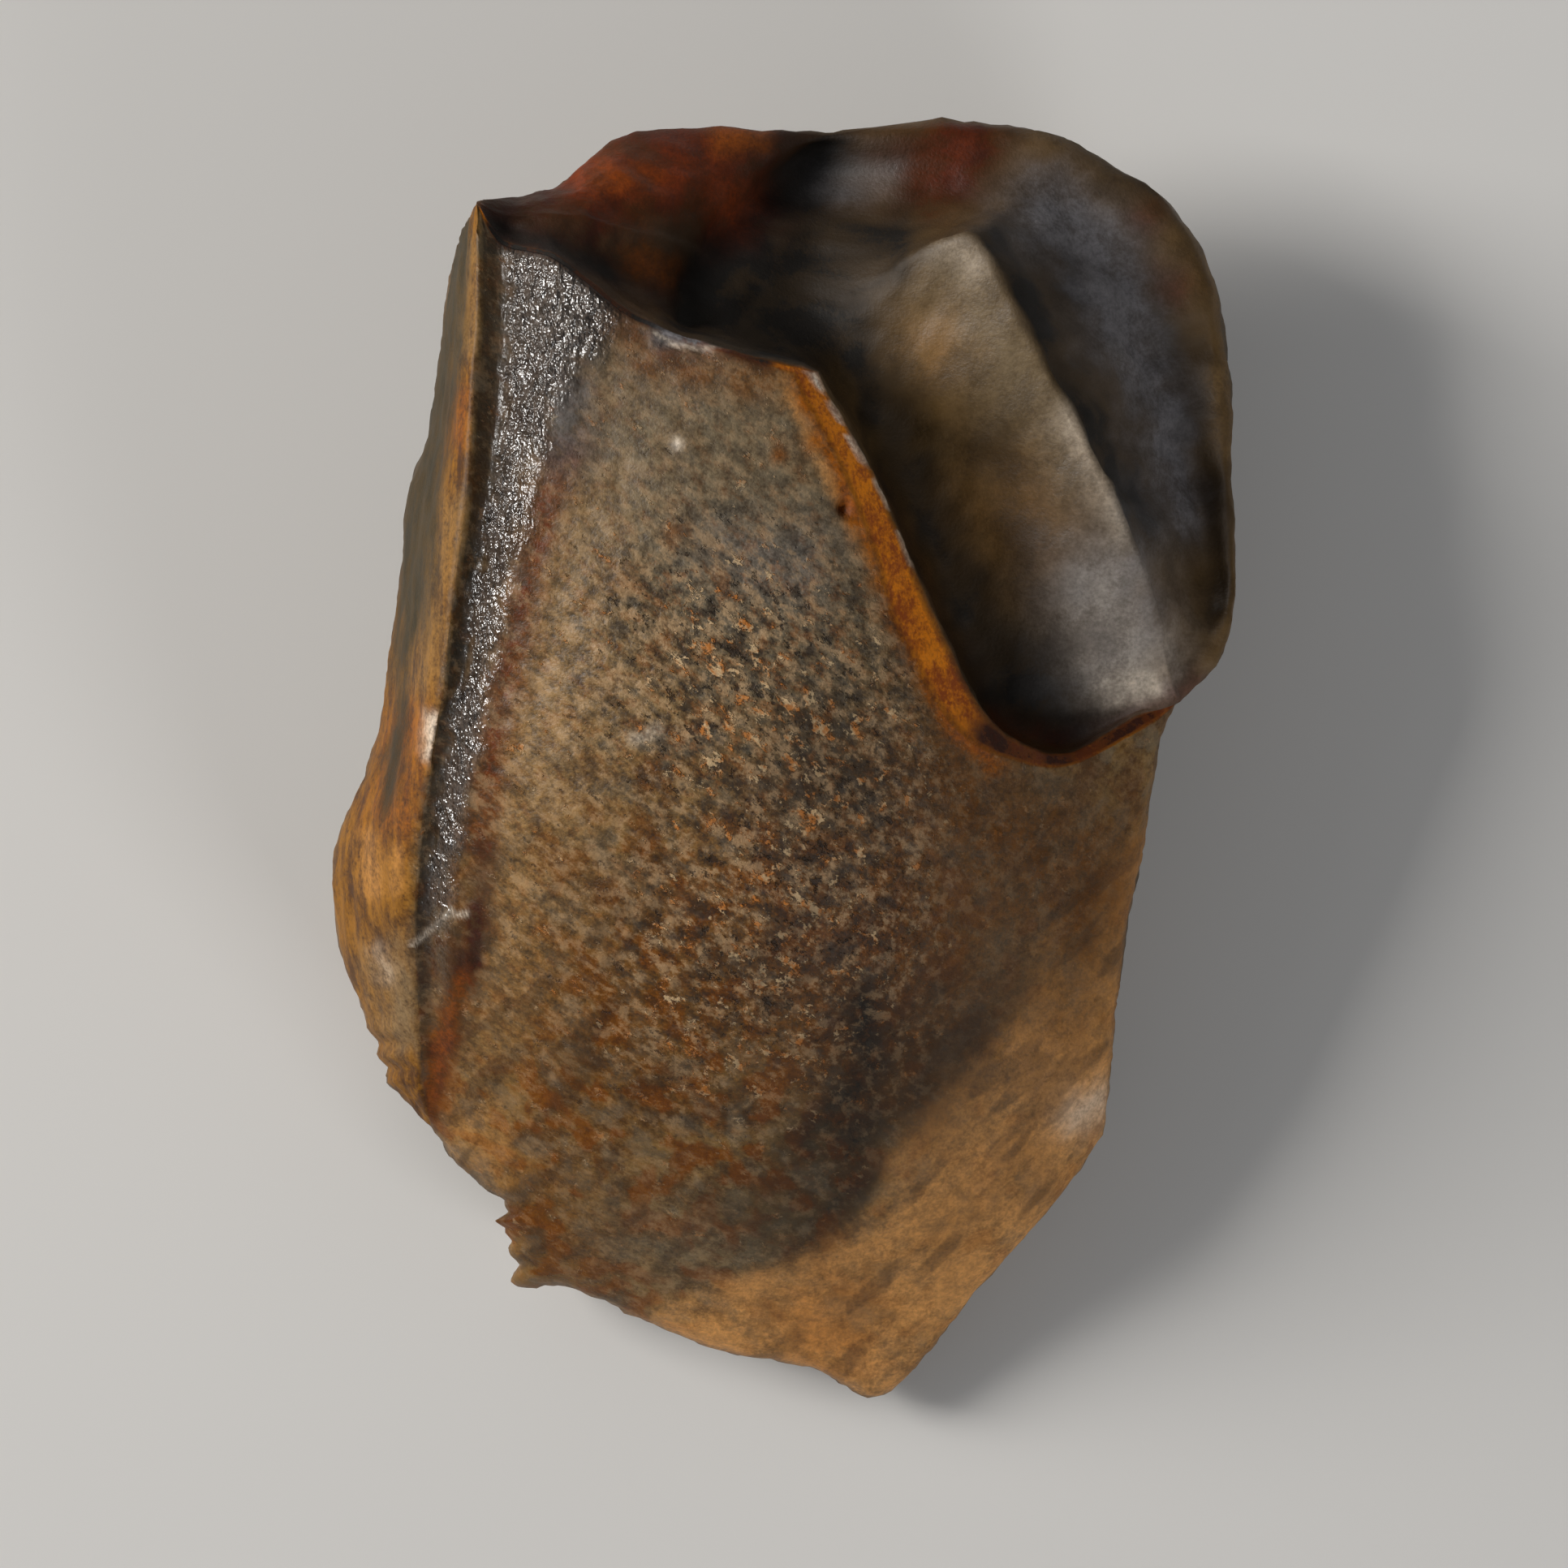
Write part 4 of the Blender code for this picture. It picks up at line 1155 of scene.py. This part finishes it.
class Nodes:
    """Short ways to add the nodes of one material. Values are sockets or plain numbers."""

    def __init__(self, material):
        material.use_nodes = True
        self.nodes = material.node_tree.nodes
        self.links = material.node_tree.links
        self.shader = self.nodes["Principled BSDF"]
        coordinates = self.nodes.new("ShaderNodeTexCoord")
        self.position = coordinates.outputs["Object"]

    def put(self, value, socket):
        if isinstance(value, bpy.types.NodeSocket):
            self.links.new(value, socket)
        else:
            socket.default_value = value

    def maths(self, operation, first, second):
        node = self.nodes.new("ShaderNodeMath")
        node.operation = operation
        self.put(first, node.inputs[0])
        self.put(second, node.inputs[1])
        return node.outputs[0]

    def times(self, first, second):
        return self.maths("MULTIPLY", first, second)

    def plus(self, first, second):
        return self.maths("ADD", first, second)

    def minus(self, first, second):
        return self.maths("SUBTRACT", first, second)

    def average(self, first, second, share):
        """This share of the first, and the rest of the second."""
        return self.plus(self.times(first, share), self.times(second, 1 - share))

    def remap(self, value, low, high, to_low=0.0, to_high=1.0):
        node = self.nodes.new("ShaderNodeMapRange")
        node.interpolation_type = "SMOOTHSTEP"
        self.put(value, node.inputs["Value"])
        for name, number in zip(("From Min", "From Max", "To Min", "To Max"), (low, high, to_low, to_high)):
            node.inputs[name].default_value = number
        return node.outputs["Result"]

    def places(self, per_mm, turn=0.0):
        """Position in millimetres times this many, turned about the vertical by turn degrees."""
        node = self.nodes.new("ShaderNodeMapping")
        node.vector_type = "POINT"
        turned = self.nodes.new("ShaderNodeVectorRotate")
        turned.rotation_type = "Z_AXIS"
        turned.inputs["Angle"].default_value = math.radians(turn)
        self.links.new(self.position, turned.inputs["Vector"])
        self.links.new(turned.outputs[0], node.inputs["Vector"])
        scales = per_mm if isinstance(per_mm, tuple) else (per_mm,) * 3
        node.inputs["Scale"].default_value = [scale / MM for scale in scales]
        return node.outputs[0]

    def noise_node(self, places, detail, roughness):
        node = self.nodes.new("ShaderNodeTexNoise")
        self.links.new(places, node.inputs["Vector"])
        node.inputs["Scale"].default_value = 1.0
        node.inputs["Detail"].default_value = detail
        node.inputs["Roughness"].default_value = roughness
        return node

    def noise(self, name):
        per_mm, detail = SHADER_NOISES[name]
        return self.noise_node(self.places(per_mm), detail, 0.6).outputs["Fac"]

    def three_noises(self, per_mm, detail, turn):
        """Three unrelated noises of the same scale."""
        node = self.noise_node(self.places(per_mm, turn), detail, 0.72)
        parts = self.nodes.new("ShaderNodeSeparateColor")
        self.links.new(node.outputs["Color"], parts.inputs[0])
        return parts.outputs

    def share(self, name):
        node = self.nodes.new("ShaderNodeAttribute")
        node.attribute_name = name
        return node.outputs["Fac"]

    def mix(self, share, first, second):
        node = self.nodes.new("ShaderNodeMix")
        node.data_type = "RGBA"
        self.put(share, node.inputs[0])
        self.put(first, node.inputs[6])
        self.put(second, node.inputs[7])
        return node.outputs[2]

    def two_tone(self, colours, pattern, low=0.38, high=0.62):
        return self.mix(self.remap(pattern, low, high), linear(colours[0]), linear(colours[1]))


def linear(colour, share=1.0):
    """An sRGB colour of 0 to 255 as the shader's linear values."""
    values = []
    for part in colour:
        part = part * share / 255
        values.append(part / 12.92 if part <= 0.04045 else ((part + 0.055) / 1.055) ** 2.4)
    return (*values, 1.0)


def patch_colours(make, fine, uneven):
    """Each patch's own two tones."""
    mottling, blotches = make.share("mottling"), make.share("blotches")
    fibres = make.noise("fibres")
    patterns = {
        "lip": uneven,
        "hollow": make.average(mottling, 0.5, 0.5),
        "flank": make.average(fibres, mottling, 0.75),
        "wall": fibres,
        "facet": make.share("streaks"),
    }
    colour = make.two_tone(PATCH_COLOURS["face"], uneven)
    rusty = make.times(make.remap(blotches, 0.5, 0.66), make.share("lower"))
    colour = make.mix(make.times(rusty, 0.75), colour, linear(RUST_BLOTCHES))
    colour = make.mix(make.remap(blotches, 0.44, 0.3, 0.0, 0.4), colour, linear(GREY_BLOTCHES))
    for patch, pattern in patterns.items():
        tones = make.two_tone(PATCH_COLOURS[patch], make.average(pattern, fine, 0.6))
        colour = make.mix(make.share(patch), colour, tones)
    return colour


def stained(make, colour, fine, uneven):
    """The marks' tints, stains with some painted shade and painted highlights among them, the olive band on
    the side, partly painted shade, and the polish.
    """
    for tint, value in TINTS.items():
        strength = make.times(make.share("tint_" + tint), make.remap(uneven, 0.38, 0.6, 0.72, 1.2))
        shaded = make.mix(make.remap(fine, 0.36, 0.64), *(linear(value, shade) for shade in TINT_SHADES))
        colour = make.mix(make.maths("MINIMUM", strength, 1.0), colour, shaded)
    # The olive band, partly painted shade on the flank.
    colour = make.mix(make.times(make.share("olive"), 0.85), colour, linear(OLIVE_COLOUR))
    polished = make.two_tone(GLOSS_COLOURS, fine, 0.36, 0.64)
    return make.mix(make.times(make.share("gloss"), 0.92), colour, polished)


def gritty_colour(make, colour, fine, lumps, raised, sunken):
    """The enamel's grit, with crumbs that stand out of it, and pits and dark streaks in it."""
    enamel = make.share("gritty")
    for which, low, high, strength, tone in GRIT_TONES:
        share = make.times(make.remap(lumps[which], low, high, 0.0, strength), enamel)
        colour = make.mix(share, colour, linear(tone))
    pits = make.times(make.remap(fine, 0.44, 0.33), make.plus(enamel, make.times(make.share("flank"), 0.7)))
    colour = make.mix(make.times(pits, 0.5), colour, linear(PIT_COLOUR))
    colour = make.mix(make.times(raised, 0.8), colour, make.two_tone(CRUMB_COLOURS, lumps[1], 0.42, 0.58))
    colour = make.mix(make.times(sunken, 0.85), colour, linear(PIT_COLOUR))
    dark_streaks = make.times(make.remap(make.share("streaks"), 0.56, 0.72), make.share("lower"))
    return make.mix(make.times(dark_streaks, 0.4), colour, linear(PIT_COLOUR, 1.4))


def fossil_material():
    material = bpy.data.materials.new("fossil_tooth")
    make = Nodes(material)
    speckle = make.noise("speckle")
    grain = make.noise("grain")
    lumps = make.three_noises(*GRIT_NOISE, GRIT_TURN)
    gloss, gritty, grainy = (make.share(name) for name in ("gloss", "gritty", "grainy"))

    crumbs = make.plus(make.plus(lumps[0], make.times(grainy, RAISED_SHIFT)), make.times(grain, 0.2))
    raised = make.times(make.remap(crumbs, *RAISED), gritty)
    pits = make.minus(lumps[0], make.times(grainy, SUNKEN_SHIFT))
    sunken = make.times(make.remap(pits, *SUNKEN), gritty)

    blurred = make.plus(make.times(make.share("hollow"), 0.5), make.times(make.share("tint_ochre"), 0.5))
    fine = make.times(make.average(speckle, grain, 0.55), make.minus(1.0, blurred))
    fine = make.plus(fine, make.times(blurred, 0.5))
    uneven = make.average(make.share("mottling"), fine, 0.4)
    colour = stained(make, patch_colours(make, fine, uneven), fine, uneven)
    colour = gritty_colour(make, colour, fine, lumps, raised, sunken)
    vivid = make.nodes.new("ShaderNodeHueSaturation")
    vivid.inputs["Saturation"].default_value = SATURATION
    make.put(colour, vivid.inputs["Color"])
    make.put(vivid.outputs["Color"], make.shader.inputs["Base Color"])

    roughness = make.plus(ROUGHNESS, make.times(speckle, SPECKLED_ROUGHNESS))
    for name, change in ROUGHNESS_CHANGES.items():
        roughness = make.plus(roughness, make.times(make.share(name), change))
    make.put(roughness, make.shader.inputs["Roughness"])

    wrinkles = make.times(make.noise("wrinkles"), gloss)
    wrinkle_height = make.remap(make.noise("bursts"), 0.38, 0.6, *WRINKLE_HEIGHTS)
    relief = make.times(grain, GRAIN_HEIGHT)
    relief = make.plus(relief, make.times(make.times(speckle, gritty), SPECKLE_HEIGHT))
    relief = make.plus(relief, make.times(make.minus(raised, sunken), CRUMB_HEIGHT))
    relief = make.plus(relief, make.times(wrinkles, wrinkle_height))
    bump = make.nodes.new("ShaderNodeBump")
    bump.inputs["Distance"].default_value = MM
    bump.inputs["Strength"].default_value = 1.0
    make.put(relief, bump.inputs["Height"])
    make.put(bump.outputs["Normal"], make.shader.inputs["Normal"])
    make.put(bump.outputs["Normal"], make.shader.inputs["Coat Normal"])
    make.put(gloss, make.shader.inputs["Coat Weight"])
    for name, value in SHADER_SETTINGS.items():
        make.shader.inputs[name].default_value = value
    return material


def tooth_surface(points, weights, faces):
    smooth = mesh_of("smooth_skin", points, faces)
    outward(smooth)
    normals = np.zeros(len(points) * 3)
    smooth.vertex_normals.foreach_get("vector", normals)
    faces = [list(face.vertices) for face in smooth.polygons]
    bpy.data.meshes.remove(smooth)

    moved = roughened(points, normals.reshape(-1, 3), weights)
    mesh = mesh_of("tooth_surface", fitted(moved), faces)
    mesh.shade_smooth()
    for name, values in surface_values(points, weights).items():
        attribute = mesh.attributes.new(name, "FLOAT", "POINT")
        attribute.data.foreach_set("value", values.astype(np.float32))
    mesh.materials.append(fossil_material())
    surface = bpy.data.objects.new("tooth_surface", mesh)
    bpy.context.scene.collection.objects.link(surface)
    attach(surface, "root")
    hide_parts("tooth")


def floor():
    corners = np.array([(-1, -1, 0), (1, -1, 0), (1, 1, 0), (-1, 1, 0)])
    mesh = mesh_of("floor", corners * FLOOR_REACH, [[0, 1, 2, 3]])
    material = bpy.data.materials.new("floor")
    material.use_nodes = True
    shader = material.node_tree.nodes["Principled BSDF"]
    shader.inputs["Base Color"].default_value = FLOOR_COLOUR
    shader.inputs["Roughness"].default_value = FLOOR_ROUGHNESS
    mesh.materials.append(material)
    ground = bpy.data.objects.new("floor", mesh)
    ground.location.z = -FLOOR_DROP
    bpy.context.scene.collection.objects.link(ground)


def area_light(name, direction, distance, size, energy, colour):
    """A soft rectangular light, aimed at the tooth."""
    data = bpy.data.lights.new(name, "AREA")
    data.energy = energy
    data.shape = "RECTANGLE"
    data.size, data.size_y = size
    data.color = colour
    light = bpy.data.objects.new(name, data)
    away = Vector(direction).normalized()
    light.location = away * distance
    light.rotation_euler = away.to_track_quat("Z", "Y").to_euler()
    bpy.context.scene.collection.objects.link(light)


def surroundings():
    floor()
    for name, settings in LIGHTS.items():
        area_light(name, *settings)
    bpy.data.objects["glint_light"].visible_diffuse = False
    world = bpy.data.worlds.new("studio")
    world.use_nodes = True
    world.node_tree.nodes["Background"].inputs["Color"].default_value = SKY_COLOUR
    bpy.context.scene.world = world
    bpy.context.scene.view_settings.view_transform = "Standard"


def camera():
    data = bpy.data.cameras.new("camera")
    data.lens = LENS
    data.sensor_width = SENSOR
    data.clip_start = 0.01
    data.dof.use_dof = False
    view = bpy.data.objects.new("camera", data)
    aim = fitted(np.array([(*FRAME_CENTRE, FOCUS_HEIGHT)]))[0]
    view.location = Vector(aim) + Vector((0, 0, FRAME_WIDTH * MM * LENS / SENSOR))
    bpy.context.scene.collection.objects.link(view)
    bpy.context.scene.camera = view


frame_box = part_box("tooth")
points, weights, faces = drawn_skin()
drawn_span = np.array([points.min(0), points.max(0)])
tooth_surface(points, weights, faces)
surroundings()
camera()
